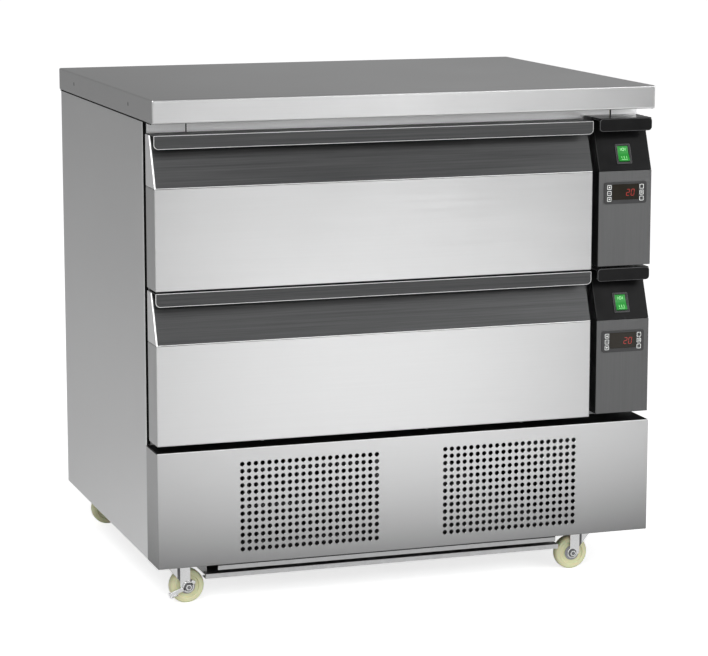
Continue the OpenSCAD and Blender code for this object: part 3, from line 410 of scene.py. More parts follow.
# Tone, spread, gloss, cells and relief
zincMetals = {
    "zincSheet": ((0.58, 0.582, 0.585), 0.035, (0.30, 0.44), 120.0),
    "zincPlated": ((0.66, 0.665, 0.67), 0.005, (0.26, 0.29), 300.0, 0.008),
    "forkSteel": ((0.80, 0.803, 0.806), 0.004, (0.20, 0.22), 200.0, 0.004),
    "railZinc": ((0.44, 0.443, 0.446), 0.02, (0.34, 0.40), 160.0, 0.01),
    # finAluminium is much darker than aluminium: painted shade for the fins seen through the
    # grilles
    "finAluminium": ((0.16, 0.162, 0.165), 0.02, (0.40, 0.55), 300.0)}

# Tone, spread, gloss, pits, bump, specular level and coat
mouldedSkins = {
    "blackGloss": ((0.006, 0.006, 0.0062), 0.001, (0.18, 0.28), 900.0, 0.02, 0.16),
    "blackSatin": ((0.008, 0.008, 0.0082), 0.002, (0.32, 0.44), 2200.0, 0.08, 0.2),
    "bezelSkin": ((0.040, 0.040, 0.041), 0.004, (0.30, 0.42), 2000.0, 0.06, 0.3),
    "gasketRubber": ((0.006, 0.006, 0.006), 0.002, (0.5, 0.65), 1500.0, 0.12, 0.06),
    # sealBlack: black for the joints of the frame and for painted shadows
    "sealBlack": ((0.004, 0.004, 0.004), 0.001, (0.6, 0.75), 1200.0, 0.1, 0.05),
    # lipEdge: grey line round the black lip, a painted highlight
    "lipEdge": ((0.075, 0.075, 0.077), 0.01, (0.30, 0.40), 1500.0, 0.04),
    # chassisPaint is near black: painted shade inside the base, behind the grilles
    "chassisPaint": ((0.030, 0.030, 0.031), 0.004, (0.36, 0.50), 700.0, 0.08, 0.2),
    "shellPaint": ((0.010, 0.010, 0.011), 0.003, (0.22, 0.36), 500.0, 0.15, 0.5, 0.2),
    "fanPlastic": ((0.022, 0.022, 0.024), 0.004, (0.4, 0.55)),
    "foamFill": ((0.74, 0.68, 0.46), 0.04, (0.8, 0.9), 500.0, 0.5),
    "linerPlastic": ((0.66, 0.665, 0.66), 0.015, (0.30, 0.42), 900.0, 0.05),
    "keyPad": ((0.055, 0.055, 0.056), 0.005, (0.36, 0.46), 2500.0, 0.06, 0.3),
    "paleMark": ((0.93, 0.95, 0.93), 0.02, (0.4, 0.5)),
    "wheelNylon": ((0.66, 0.66, 0.42), 0.02, (0.26, 0.36), 700.0, 0.02),
    "hubGrey": ((0.27, 0.27, 0.30), 0.02, (0.34, 0.5), 900.0, 0.04),
    # shadeGrey paints shade on the forks and the worktop rivets, and highlights on the switch
    # frames
    "shadeGrey": ((0.11, 0.11, 0.115), 0.01, (0.4, 0.5), 900.0, 0.04),
    "windowGlass": ((0.016, 0.013, 0.009), 0.002, (0.08, 0.14), 400.0, 0.01, 0.25),
    "rockerGreen": ((0.003, 0.16, 0.018), 0.03, (0.12, 0.22), 600.0, 0.03, 0.5, 0.2),
    "rockerMark": ((0.45, 0.80, 0.45), 0.04, (0.2, 0.3)),
    "digitRed": ((0.20, 0.01, 0.01), 0.02, (0.2, 0.3))}

finishes = {name: make(name, *row)
            for make, table in ((brushedMetal, brushedMetals), (zincMetal, zincMetals),
                                (mouldedSkin, mouldedSkins)) for name, row in table.items()}
# Glow colour and strength of what is lit
glows = {"rockerGreen": ((0.008, 0.40, 0.035, 1), 0.28), "rockerMark": ((0.35, 0.9, 0.35, 1), 0.4),
         "digitRed": ((1.0, 0.07, 0.04, 1), 0.36)}
shaderValues = {name: {"Emission Color": tone, "Emission Strength": strength}
                for name, (tone, strength) in glows.items()}
shaderValues["wheelNylon"] = {"Subsurface Weight": 0.25, "Subsurface Scale": 0.004}
for name, values in shaderValues.items():
    tree = finishes[name].node_tree
    feed(tree, tree.nodes["Principled BSDF"], values)
print("stage: materials made")

# CAD nodes that stay, under the finish that each gets
keptNodes = {
    "foamFill": ["cabinet_insulation"], "railSteel": ["front_frame"], "zincSheet": ["unit_tray"],
    "innerSteel": ["compartment_liners", "drawer_frame_lower", "drawer_frame_upper"],
    "chassisPaint": ["base_chassis"], "shellPaint": ["compressors"],
    "finAluminium": ["condenser", "evaporators"], "copperPipe": ["refrigerant_pipes"],
    "zincPlated": ["slide_outer_rails", "slide_mids_lower", "slide_mids_upper"],
    "fanPlastic": ["condenser_fan", "evaporator_fan_lower", "evaporator_fan_upper"],
    "bezelSkin": ["controllers"]}
for finish, names in keptNodes.items():
    for name in names:
        nodes[name].data.materials.clear()
        nodes[name].data.materials.append(finishes[finish])

worktop = Settings({
    "x": 0.4496, "y": 0.3498, "bottom": 0.825, "top": 0.865, "sheet": 0.0012, "lip": 0.0212,
    "bend": 0.0026, "cornerRadius": 0.003, "stiffenerX": 0.225, "stiffenerHalf": 0.03,
    "stiffenerY": 0.29, "faceX": 0.4468, "faceY": (-0.35, -0.3497), "faceZ": (0.8278, 0.8622),
    "lineX": (0.4495, 0.4476), "lineY": (-0.34, 0.343), "lineZ": (0.8236, 0.8249)})


# Arc of (inset, height) rings about a centre, from one direction to another
def bendRings(centre, radius, start, end, steps=5):
    a = np.radians(np.linspace(start, end, steps + 1))
    return np.column_stack([centre[0] - radius * np.cos(a), centre[1] + radius * np.sin(a)])


# Folded pan: rings go from under the top down its inner wall, round the lip and up the outside
def makeWorktop(s):
    inner, tip = s.bend - s.sheet, s.sheet / 2
    roof, floor = (s.bend, s.top - s.bend), (s.bend, s.bottom + s.bend)
    rings = [[s.bend + 0.002, s.top - s.sheet], *bendRings(roof, inner, 90, 0),
             *bendRings(floor, inner, 0, -90), [s.bend + 0.001, s.bottom + s.sheet],
             *bendRings((s.lip - tip, s.bottom + tip), tip, 90, 270, 6),
             [s.bend + 0.001, s.bottom], *bendRings(floor, s.bend, -90, 0),
             [0, floor[1] + 0.0005], [0, roof[1] - 0.0005], *bendRings(roof, s.bend, 0, 90),
             [s.bend + 0.0006, s.top], [s.bend + 0.02, s.top]]
    return ringStack(centred(s.x, s.y), s.cornerRadius, rings, topAt(0, 0, 0))


# Hat section under the worktop, extruded along the depth
def makeStiffener(s, x):
    half, t = s.stiffenerHalf, s.sheet
    low, high = s.bottom + 0.0002, s.top - t - 0.0001
    corners = [[-half, low], [t - half, low], [t - half, high - t], [half - t, high - t],
               [half - t, low], [half, low], [half, high], [-half, high]]
    return plate(corners, [0.0003] * 6 + [0.0015] * 2, -s.stiffenerY, s.stiffenerY, 0.0003,
                 frontAt(x, 0, 0), steps=2)


# Painted shadow: a dark line under the worktop's side edge, where it ends over the side panel
def makeSideShadowLine(s, side):
    return block(np.multiply(side, s.lineX), s.lineY, s.lineZ, 0.0002)


addPiece("worktop_side_shadow_lines", "sealBlack",
         [makeSideShadowLine(worktop, side) for side in sides])
# The worktop's front face is a thin skin in its own steel copy, whose tone and falloff paint the
# light on that face
addPiece("worktop_front_face", "frontSteel",
         [block((-worktop.faceX, worktop.faceX), worktop.faceY, worktop.faceZ, 0.0001)])
addPiece("worktop_sheet", "topSteel",
         [makeWorktop(worktop), *(makeStiffener(worktop, side * worktop.stiffenerX)
                                  for side in sides)], ["worktop"])
print("stage: worktop made")

frameJoints = Settings({
    "y": -0.2763, "seam": 0.002, "inner": -0.4463, "cornerX": -0.3733, "cornerZ": 0.792,
    "postX": 0.3965, "low": 0.262, "top": 0.8248, "proud": 0.0003, "sunk": 0.001,
    "edgeX": -0.4405, "edgeLow": 0.2745, "bevel": 0.0002})
crossRail = Settings({"x": (-0.3436, 0.2731), "y": (-0.34875, -0.34855), "z": (0.066, 0.0732)})


# Black sealant in the joints of the frame, its corner piece and right strip, and at its left edge
# a black strip that paints the shadow in the gap beside the drawers
def makeJoints(s):
    half = s.seam / 2
    x, z = s.cornerX + half, s.cornerZ - half
    lines = [((x - half, x + half), (s.cornerZ - s.seam, s.top)),
             ((s.inner, x - half), (z - half, z + half)),
             ((s.postX, s.postX + s.seam), (s.low, s.top)),
             ((s.inner, s.edgeX), (s.edgeLow, s.top))]
    return [block(across, (s.y - s.proud, s.y + s.sunk), up, s.bevel) for across, up in lines]


addPiece("frame_joints", "sealBlack", makeJoints(frameJoints))
addPiece("cross_rail_skin", "railZinc",
         [block(crossRail.x, crossRail.y, crossRail.z, 0.00005)])
print("stage: frame joints made")

panel = Settings({
    "inner": 0.4463, "front": -0.276, "back": 0.344, "bottom": 0.075, "top": 0.8248,
    "flange": 0.015, "sheet": 0.0012, "cornerR": 0.0008, "bevel": 0.0009, "foldLap": 0.0002,
    "foldBevel": 0.0004})


# Side sheet that faces outwards, and the flange folded in at its foot
def makeSidePanel(s, side):
    low, high = sorted((side * s.front, side * s.back))
    face = plate(rectangle(low, s.bottom, high, s.top), s.cornerR, 0, s.sheet, s.bevel,
                 planeAt((side * s.inner, 0, 0), (0, side, 0), (0, 0, 1)))
    fold = block((side * (s.inner - s.flange), side * (s.inner + s.foldLap)),
                 (s.front, s.back - s.sheet), (s.bottom, s.bottom + s.sheet), s.foldBevel)
    return [face, fold]


for side, hand in zip(sides, ("left", "right")):
    addPiece(hand + "_panel", "sideSteel", makeSidePanel(panel, side),
             [hand + "_side_panel"])

back = Settings({
    "slotW": 0.15, "slotH": 0.006, "slotX": (-0.19, 0.02), "slotZ": 0.135, "pitch": 0.02,
    "count": 6, "half": 0.446, "hoodH": 0.011, "hoodDepth": 0.004, "hoodT": 0.0008,
    "hoodRise": 0.003, "hoodLap": 0.004, "hoodSeat": 0.0002, "glandX": 0.33, "glandZ": 0.135,
    "glandRadii": [0.0003, 0.0003, 0.0002, 0.0003, 0.0016, 0.0006],
    "gland": [[0.004, -0.0072], [0.0089, -0.0072], [0.0089, 0], [0.014, 0], [0.014, 0.0034],
              [0.004, 0.0034]]})


# Cells between the lines of the slots' edges, where every second one is a slot
def makeBackSheet(p, s):
    xs = [-s.half, *edgesAround(sorted(-x for x in s.slotX), s.slotW / 2), s.half]
    lows = [s.slotZ + k * s.pitch for k in range(s.count)]
    zs = [p.bottom, *(low + rise for low in lows for rise in (0, s.slotH)), p.top]
    solid = np.ones((len(zs) - 1, len(xs) - 1), bool)
    solid[1:-1:2, 1::2] = False
    return cellPanel(xs, zs, solid, solid, p.sheet, backAt(0, p.back, 0))


# Louvre hood: an arc that leaves the sheet at its top edge and stands out most over the slot,
# fading to nothing at both ends, with a wall between its outer and its inner face
def makeHood(p, s, x, z, rows=9, cols=33):
    u, v = np.meshgrid(np.linspace(-1, 1, cols), np.linspace(0, 1, rows))
    rise = s.hoodDepth * np.sin(v * math.pi / 2) ** 0.8 * (1 - u ** 10)
    height = z + s.slotH + s.hoodRise - v * s.hoodH
    outer = np.stack([u * (s.slotW / 2 + s.hoodLap), height, rise + s.hoodSeat], -1)
    outer = outer.reshape(-1, 3)
    quads, count = gridQuads(rows, cols), rows * cols
    index = np.arange(count).reshape(rows, cols)
    rim = np.concatenate([index[0], index[1:, -1], index[-1, -2::-1], index[-2:0:-1, 0]])
    ahead = np.roll(rim, -1)
    walls = np.column_stack([rim, ahead, ahead + count, rim + count])
    return (backAt(x, p.back, 0)(np.concatenate([outer, outer - [0, 0, s.hoodT]])),
            np.concatenate([quads[:, ::-1], quads + count, walls]).tolist())


addPiece("back_sheet", "zincSheet", [makeBackSheet(panel, back)], ["back_panel"])
addPiece("back_louvre_hoods", "zincSheet",
         [makeHood(panel, back, x, back.slotZ + k * back.pitch)
          for x in back.slotX for k in range(back.count)], sharp=50)
addPiece("cord_gland", "blackSatin",
         [turned(back.gland, back.glandRadii, backAt(back.glandX, panel.back, back.glandZ))])

fixings = Settings({
    "headR": 0.0035, "headH": 0.0018, "inset": 0.014, "backTop": 0.825, "topRivetZ": 0.845,
    "topRivetH": 0.0004, "topRivetY": (-0.189, 0.224), "screwX": (-0.25, 0.048, 0.225),
    "screwY": -0.3, "screwZ": 0.274})


# Domed head: the height falls off as a circle from the middle to a square rim
def domeHead(radius, height, place):
    a = np.linspace(0, math.pi / 2, 6)[:-1]
    curve = np.column_stack([radius * np.cos(a), height * (0.35 + 0.65 * np.sin(a))])
    profile = [[radius * 0.9, -0.0004], [radius, 0], *curve, [radius * 0.08, height]]
    return lathe(profile, place, 20)


# Rivets along the foot and the top of the back sheet, and the screws on the base panel's fold
def makeFixings(s, p):
    places = [backAt(x, p.back, z) for x in np.linspace(-1, 1, 5) * (p.inner - s.inset)
              for z in (p.bottom + s.inset, s.backTop - s.inset)]
    places += [topAt(x, s.screwY, s.screwZ) for x in s.screwX]
    return [domeHead(s.headR, s.headH, place) for place in places]


# Flat rivet head on the worktop's side edge: a low dome that faces outwards
def makeTopRivet(s, side, y):
    place = planeAt((side * worktop.x, y, s.topRivetZ), (0, side, 0), (0, 0, 1))
    return domeHead(s.headR, s.topRivetH, place)


# The worktop rivets take the shade and highlight grey, darker than the steel round them: painted
# shade
addPiece("worktop_rivets", "shadeGrey",
         [makeTopRivet(fixings, side, y) for side in sides for y in fixings.topRivetY])
addPiece("rivets_and_screws", "zincPlated", makeFixings(fixings, panel),
         ["panel_screws"])
print("stage: panels and fixings made")

basePanel = Settings({
    "x": 0.4475, "bottom": 0.075, "top": 0.274, "front": -0.35, "back": -0.276, "sheet": 0.0012,
    "bend": 0.0014, "fold": 0.00148, "cols": 21, "rows": 13, "pitchX": 0.012, "pitchZ": 0.0123,
    "holeR": 0.0039, "perSide": 6, "rim": 0.0004, "grilleX": (-0.18, 0.185), "grilleZ": 0.173,
    "flatFrom": 0.0008, "cornerR": 0.0012, "bevel": 0.0001, "stripT": 0.0003,
    "stripInset": (0.0015, 0.0022, 0.0005), "edgeT": 0.0012, "edgeInset": (0.0001, 0.00002),
    "edgeProud": 0.0002})


# One hole cell: a ring of points on the square goes to a ring on the circle at the same angles,
# then over a small rim and down the wall of the hole; each place of the grid gets such a cell
def makeHoles(s, place):
    t = np.linspace(-1, 1, s.perSide + 1)[:-1]
    one = np.ones(len(t))
    square = np.concatenate([np.column_stack(side)
                             for side in ((t, -one), (one, t), (-t, one), (-one, -t))])
    square = square * [s.pitchX / 2, s.pitchZ / 2]
    angle = np.arctan2(square[:, 1], square[:, 0])
    circle = np.column_stack([np.cos(angle), np.sin(angle)])
    cell = np.concatenate([atHeight(loop, height) for loop, height in (
        (square, 0), (circle * (s.holeR + s.rim), 0), (circle * s.holeR, -s.rim),
        (circle * s.holeR, -s.sheet), (square, -s.sheet))])
    xs = [x + (i - (s.cols - 1) / 2) * s.pitchX for x in s.grilleX for i in range(s.cols)]
    zs = [s.grilleZ + (k - (s.rows - 1) / 2) * s.pitchZ for k in range(s.rows)]
    middles = np.array([[x, z, 0] for x in xs for z in zs])
    starts = len(cell) * np.arange(len(middles))[:, None, None]
    quads = gridQuads(5, len(square), False, True)[None] + starts
    return place((cell[None] + middles[:, None]).reshape(-1, 3)), quads.reshape(-1, 4).tolist()


# Front sheet round the grilles, its rounded folds all round, and the returns and roof behind it
def makeBasePanel(s):
    place = frontAt(0, s.front, 0)
    halfW, halfH, edge = s.cols * s.pitchX / 2, s.rows * s.pitchZ / 2, s.bend + s.flatFrom
    xs = [edge - s.x, *edgesAround(s.grilleX, halfW), s.x - edge]
    zs = [s.bottom + edge, *edgesAround([s.grilleZ], halfH), s.top - edge]
    solid, shown = np.ones((2, len(zs) - 1, len(xs) - 1), bool)
    shown[1, 1::2] = False
    sheet = cellPanel(xs, zs, solid, shown, s.sheet, place)
    centre = (s.bend, -s.bend)
    rings = [[s.sheet, -s.fold], [s.sheet, -s.bend],
             *bendRings(centre, s.bend - s.sheet, 0, 90, 3)[1:],
             [edge, -s.sheet], [edge, 0], *bendRings(centre, s.bend, 90, 0), [0, -s.fold]]
    folds = ringStack(rectangle(-s.x, s.bottom, s.x, s.top), s.cornerR, rings[::-1], place,
                      closed=True)
    y = (s.front + s.fold, s.back)
    returns = [block((side * s.x, side * (s.x - s.sheet)), y, (s.bottom, s.top), s.bevel)
               for side in sides]
    roof = block((-s.x, s.x), y, (s.top - s.sheet, s.top), s.bevel)
    return [sheet, folds, makeHoles(s, place), *returns, roof]


# Dark strip on the top fold, a painted shadow, behind a bright line along the folded edge, a
# painted highlight
def makeBaseTop(s):
    (side, front, back), (edgeSide, edgeFront) = s.stripInset, s.edgeInset
    strip = block((side - s.x, s.x - side), (s.front + front, s.back - back),
                  (s.top - s.stripT, s.top + s.stripT), s.bevel)
    edge = block((edgeSide - s.x, s.x - edgeSide), (s.front + edgeFront, s.front + s.edgeT),
                 (s.top - s.edgeT, s.top + s.edgeProud), s.edgeProud)
    return [strip], [edge]


baseShadowStrip, baseHighlightEdge = makeBaseTop(basePanel)
addPiece("base_top_shadow_strip", "sealBlack", baseShadowStrip)
addPiece("base_top_highlight", "cutSteel", baseHighlightEdge)
addPiece("base_front_panel", "baseSteel", makeBasePanel(basePanel), ["base_panel"],
         sharp=40)
print("stage: base panel made")

# The lean is that of a slope 34 mm deep and 86.5 mm high
drawer = Settings({
    "x0": -0.446, "x1": 0.335, "front": -0.347, "bottom": (0.285, 0.547), "depth": 0.0575,
    "height": 0.2573, "faceH": 0.171, "lean": math.atan(0.034 / 0.0865), "fullH": 0.259,
    "endBevel": 0.0014, "joint": 0.0007, "faceRadii": (0.0018, 0.0012, 0.0003, 0.0006),
    "wedgeFront": 0.0002, "wedgeRadii": (0.0003, 0.0003, 0.0012, 0.001), "bandT": 0.0004,
    "bandInset": (0.0028, 0.0012, 0.0006, 0.0006), "bandR": 0.0005, "bandBevel": 0.0003,
    "lipH": 0.0228, "lipT": 0.0015, "lipRadii": (0.008, 0.008, 0.0008, 0.0008),
    "lipBevel": 0.0007, "lipBack": 0.0005, "lipSteps": 5, "lipSeat": (0.0002, 0.05),
    "shelfBevel": 0.0006, "backY": -0.289, "linerY": -0.2891, "linerInset": 0.0013,
    "linerR": 0.003, "gasketInset": 0.006, "gasketR": 0.007,
    "lipEdge": [[-0.0001, 0.0004], [-0.0001, 0.00135], [0.0002, 0.00165], [0.0009, 0.00165],
                [0.0011, 0.00135], [0.0011, 0.0004]],
    "liner": [[0.0005, -0.006], [0, -0.0055], [0, -0.0012], [0.0004, -0.0004], [0.0012, 0],
              [0.0035, 0], [0.0042, -0.0008], [0.0235, -0.0008], [0.0245, 0], [0.03, 0]],
    "gasket": [[0.0008, -0.0006], [0.0002, 0.0012], [0.0018, 0.0038], [0.0006, 0.0064],
               [0.0004, 0.009], [0.0010, 0.0115], [0.0022, 0.0125], [0.0035, 0.0127],
               [0.0135, 0.0127], [0.0148, 0.0125], [0.016, 0.0115], [0.0166, 0.009],
               [0.0164, 0.0064], [0.0152, 0.0038], [0.0168, 0.0012], [0.0162, -0.0006]]})


# Middle and half width of a front from its two ends
def middleAndHalf(s):
    return (s.x0 + s.x1) / 2, (s.x1 - s.x0) / 2


# Side profile of (depth, height) carried along the width of a front
def alongWidth(s, z, corners, radii, steps=5):
    place = planeAt((s.x0, s.front, z), (0, 1, 0), (0, 0, 1))
    return plate(corners, radii, 0, s.x1 - s.x0, s.endBevel, place, s.endBevel, steps)


# Outline of a lip over the whole width with its radii, and its plane
def lipOutline(s, z):
    middle, half = middleAndHalf(s)
    return (rectangle(-half, 0, half, s.lipH), s.lipRadii,
            frontAt(middle, s.front + s.lipT, z + s.fullH - s.lipH))


# Upright lip: a plate on its outline, with the larger bevel in front
def makeLip(s, z):
    corners, radii, place = lipOutline(s, z)
    return plate(corners, radii, 0, s.lipT, s.lipBevel, place, s.lipBack, s.lipSteps)


# Painted highlight: a fine bright line that runs round the front of the lip, a small profile
# carried round its outline
def makeLipHighlight(s, z):
    corners, radii, place = lipOutline(s, z)
    return ringStack(corners, radii, s.lipEdge, place, s.lipSteps, True)


# Shelf behind the top of the lip, from one depth to another behind the front
def makeShelf(s, z, inset, start, end, thick):
    return block((s.x0 + inset, s.x1 - inset), (s.front + start, s.front + end),
                 (z + s.fullH - thick, z + s.fullH), s.shelfBevel)


# The front is folded from two sheets: an upright face, and above a fine joint a sloping wedge
def makeDrawerFace(s, z):
    return alongWidth(s, z, rectangle(0, 0, s.depth, s.faceH - s.joint), s.faceRadii)


# Wedge: its front goes back by the tangent of the lean times its height
def makeDrawerWedge(s, z):
    top = (s.height - s.faceH) * math.tan(s.lean)
    corners = [[s.wedgeFront, s.faceH], [s.depth, s.faceH], [s.depth, s.height], [top, s.height]]
    return alongWidth(s, z, corners, s.wedgeRadii)


# Thin dark plate on the slope of the wedge
def makeBand(s, z):
    length = (s.height - s.faceH) / math.cos(s.lean)
    left, foot, right, head = s.bandInset
    return plate(rectangle(s.x0 + left, foot, s.x1 - right, length - head), s.bandR, -s.bandT,
                 s.bandT, s.bandBevel, slopeAt(0, s.front, z + s.faceH, s.lean))


# Moulded back of the drawer front: rings run in from its edge and dip in a channel for the gasket
def makeDrawerLiner(s, z):
    (middle, half), inset = middleAndHalf(s), s.linerInset
    return ringStack(rectangle(inset - half, inset, half - inset, s.height - inset), s.linerR,
                     s.liner, backAt(middle, s.linerY, z), support=0.001)


# Bellows gasket: a folded profile carried round a rectangle with round corners
def makeGasket(s, z):
    (middle, half), inset = middleAndHalf(s), s.gasketInset
    return ringStack(rectangle(inset - half, inset, half - inset, s.fullH - inset), s.gasketR,
                     s.gasket, backAt(middle, s.backY, z), closed=True)


# Each drawer's lip highlight is a bright steel line round its dark lip: a painted highlight
for level, z in zip(levels, drawer.bottom):
    for name, slotName, finish, parts, replaced, sharp in (
            ("front", "stainless", "faceSteel", [makeDrawerFace(drawer, z)], "skin", 33),
            ("wedge", "stainless", "wedgeSteel", [makeDrawerWedge(drawer, z)], None, 33),
            ("lip_edge", "stainless", "cutSteel", [makeLipHighlight(drawer, z)], None, 33),
            ("band", "dark_steel", "bandSteel", [makeBand(drawer, z)], None, 33),
            ("lip", "dark_steel", "bandSteel",
             [makeLip(drawer, z), makeShelf(drawer, z, 0, *drawer.lipSeat, drawer.lipT)],
             "handle", 33),
            ("liner", "core_plastic", "linerPlastic", [makeDrawerLiner(drawer, z)], "core", 33),
            ("seal", "gasket_rubber", "gasketRubber", [makeGasket(drawer, z)], "gasket", 60)):
        addPiece(f"drawer_{name}_{level}", finish, parts,
                 [f"drawer_{replaced}_{level}"] if replaced else (), "drawer_" + level, sharp)
print("stage: drawers made")

control = Settings({
    "x0": 0.347, "x1": 0.446, "front": -0.347, "bottom": (0.2895, 0.5515), "fullH": 0.258,
    "faceH": 0.1665, "depth": 0.0708, "endBevel": 0.0014, "plateT": 0.002, "plateR": 0.0006,
    "plateInset": (0.0002, 0.0004), "lean": drawer.lean, "lipH": 0.023, "lipT": 0.005,
    "lipRadii": 0.0065, "lipBevel": 0.0022, "lipBack": 0.0008, "lipSteps": 8,
    "lipEdge": [[0.0003, 0.0037], [0.0006, 0.0046], [0.0011, 0.0049], [0.0014, 0.0046],
                [0.0009, 0.0035]],
    "shellRadii": (0.001, 0.0015, 0.0015, 0.001, 0.0006, 0.0001), "shelfBevel": 0.0015,
    "shelfInset": 0.0005, "shelfStart": 0.002, "shelfLap": 0.004, "shelfT": 0.0045,
    "controllerZ": 0.128, "keyX": 0.0305, "keyPitch": 0.0104, "keyW": 0.008, "keyH": 0.0086,
    "keyTop": 0.0015, "keyR": 0.0012, "keyMark": 0.0017, "markSink": 0.0003, "markTop": 0.00012,
    "markAway": 0.0075, "markBarX": 0.0045, "rockerW": 0.020, "rockerH": 0.028,
    "rockerDepth": 0.005, "rockerTop": 0.0006, "dish": 0.0018, "rockerTilt": math.radians(7),
    "rockerRadii": (0.0005, 0.0012, 0.01, 0.0012, 0.0005), "switchW": 0.029, "switchH": 0.036,
    "switchRise": 0.03, "bezelT": 0.0014, "figureX": (0.0050, 0.0138), "figureY": 0.0005,
    "figureH": 0.0108, "figureOut": 0.0011, "window": (-0.0248, -0.0122, 0.0248, 0.0152),
    "windowR": 0.0008, "windowZ": (0.0006, 0.0011), "windowBevel": 0.0002})


# Black moulding behind the plate, with a thick lip and the shelf that joins them
def makeHousing(s, z):
    top = (s.fullH - s.faceH) * math.tan(s.lean)
    corners = [[s.plateT, 0], [s.depth, 0], [s.depth, s.fullH], [top, s.fullH], [0, s.faceH],
               [s.plateT, s.faceH]]
    return [alongWidth(s, z, corners, s.shellRadii, 4), makeLip(s, z),
            makeShelf(s, z, s.shelfInset, s.shelfStart, top + s.shelfLap, s.shelfT)]


# Flat plate over the upright face of the moulding
def makeFacePlate(s, z):
    (middle, half), (foot, head) = middleAndHalf(s), s.plateInset
    return plate(rectangle(-half, foot, half, s.faceH - head), s.plateR, 0, s.plateT, head,
                 frontAt(middle, s.front + s.plateT, z))


# Plane of the slope, with the switch's middle as its origin
def switchPlane(s, z):
    return slopeAt(middleAndHalf(s)[0], s.front + s.switchRise * math.sin(s.lean),
                   z + s.faceH + s.switchRise * math.cos(s.lean), s.lean)


# Frame of the switch: loops of (width, height, radius, level) go up its outside and back down
def makeSwitchBezel(s, z):
    t, w, h = s.bezelT, s.switchW, s.switchH
    innerW, innerH = s.rockerW + 0.001, s.rockerH + 0.0016
    rows = [(innerW, innerH, 0.0008, -0.012), (w - 0.004, h - 0.004, 0.0008, -0.012),
            (w - 0.004, h - 0.004, 0.0008, 0.0001), (w, h, 0.002, 0), (w, h, 0.002, t - 0.0006),
            (w - 0.0004, h - 0.0004, 0.0018, t - 0.0002), (w - 0.0012, h - 0.0012, 0.0015, t),
            (innerW + 0.0012, innerH + 0.0012, 0.001, t),
            (innerW + 0.0003, innerH + 0.0003, 0.0008, t - 0.0002),
            (innerW, innerH, 0.0008, t - 0.0008)]
    return loft([atHeight(roundOutline(centred(wide / 2, tall / 2), radius), level)
                 for wide, tall, radius, level in rows], switchPlane(s, z), True)


# Thin raised line just inside a rectangle's edge
def raisedLine(halfW, halfH, radius, width, top, place, steps):
    low, high = top - 0.0002, top + 0.0001
    return ringStack(centred(halfW, halfH), radius, [[0, low], [0, high], [width, high],
                                                     [width, low]], place, steps, True, 0.0001)


# Painted highlights on the switch frame: a thin light line round its outer and its inner edge
def makeSwitchHighlights(s, z):
    return [raisedLine(w / 2, h / 2, radius, 0.0005, s.bezelT, switchPlane(s, z), 4)
            for w, h, radius in ((s.switchW - 0.001, s.switchH - 0.001, 0.0016),
                                 (s.rockerW + 0.0032, s.rockerH + 0.0038, 0.001))]


# The rocker's own plane: its pivot lies under the band, and its face leans by the rest tilt
def rockerPlane(s, z, shiftX=0.0):
    sine, cosine = math.sin(s.rockerTilt), math.cos(s.rockerTilt)
    up = np.array([0, math.sin(s.lean), math.cos(s.lean)])
    out = np.array([0, -math.cos(s.lean), math.sin(s.lean)])
    pivot = switchPlane(s, z)([[shiftX, 0, -s.rockerDepth]])[0]
    return pivot, cosine * up - sine * out, sine * up + cosine * out


# Rocker: a side profile with a dish between two high ends, carried along its width
def makeRocker(s, z):
    half, low = s.rockerH / 2, s.rockerDepth + s.rockerTop
    corners = [[half, -0.003], [half, low + s.dish], [0, low], [-half, low + s.dish],
               [-half, -0.003]]
    return plate(corners, s.rockerRadii, 0, s.rockerW, 0.0009,
                 planeAt(*rockerPlane(s, z, -s.rockerW / 2)), 0.0009, 6)


# Marks that lie on the two halves of the rocker: bars on both, and a ring on the upper one
def makeRockerMarks(s, z):
    pivot, across, rise = rockerPlane(s, z)
    slope = s.dish / (s.rockerH / 2)
    bars = [(rectangle(x - 0.0003, -0.0022, x + 0.0003, 0.0022), 0.0002)
            for x in (-s.markBarX, s.markBarX)]
    lowerBars = [(centred(0.0004, 0.0026), 0.0003),
                 (rectangle(-0.0055, -0.0045, 0.0055, -0.0039), 0.0002)]
    parts = []
    for side, shapes in ((-1, bars + lowerBars), (1, bars)):
        ahead = across + rise * slope * side
        height = s.rockerDepth + s.rockerTop + s.markAway * slope
        place = planeAt(pivot + across * side * s.markAway + rise * height, (1, 0, 0),
                        ahead / np.linalg.norm(ahead))
        parts += [plate(corners, radius, -s.markSink, s.markTop, 0.0001, place, steps=2)
                  for corners, radius in shapes]
    ring = rectangle(0.0019, -s.markSink, 0.0026, s.markTop)
    return parts + [turned(ring, 0.0001, place, 28, 1)]


# Seven straight strokes make a figure; each is a thin slanted plate
def makeFigure(which, x, y, size, place):
    strokes = {"a": (0, 1, 1), "b": (1, 0.5, 0), "c": (1, -0.5, 0), "d": (0, -1, 1),
               "e": (-1, -0.5, 0), "f": (-1, 0.5, 0), "g": (0, 0, 1)}
    w, h, t = size * 0.25, size * 0.5, size * 0.036
    parts = []
    for key in {"0": "abcdef", "2": "abged"}[which]:
        sx, sy, flat = strokes[key]
        length = (w if flat else h / 2) - t * 1.1
        across, up = (length, t) if flat else (t, length)
        cx, cy = sx * w, sy * h
        corners = np.array(rectangle(cx - across, cy - up, cx + across, cy + up))
        corners[:, 0] += corners[:, 1] * 0.12
        parts.append(ringStack(corners + [x, y], t * 0.5, [[0, 0], [0, 0.00008]], place, 2,
                               support=1e-5))
    return parts


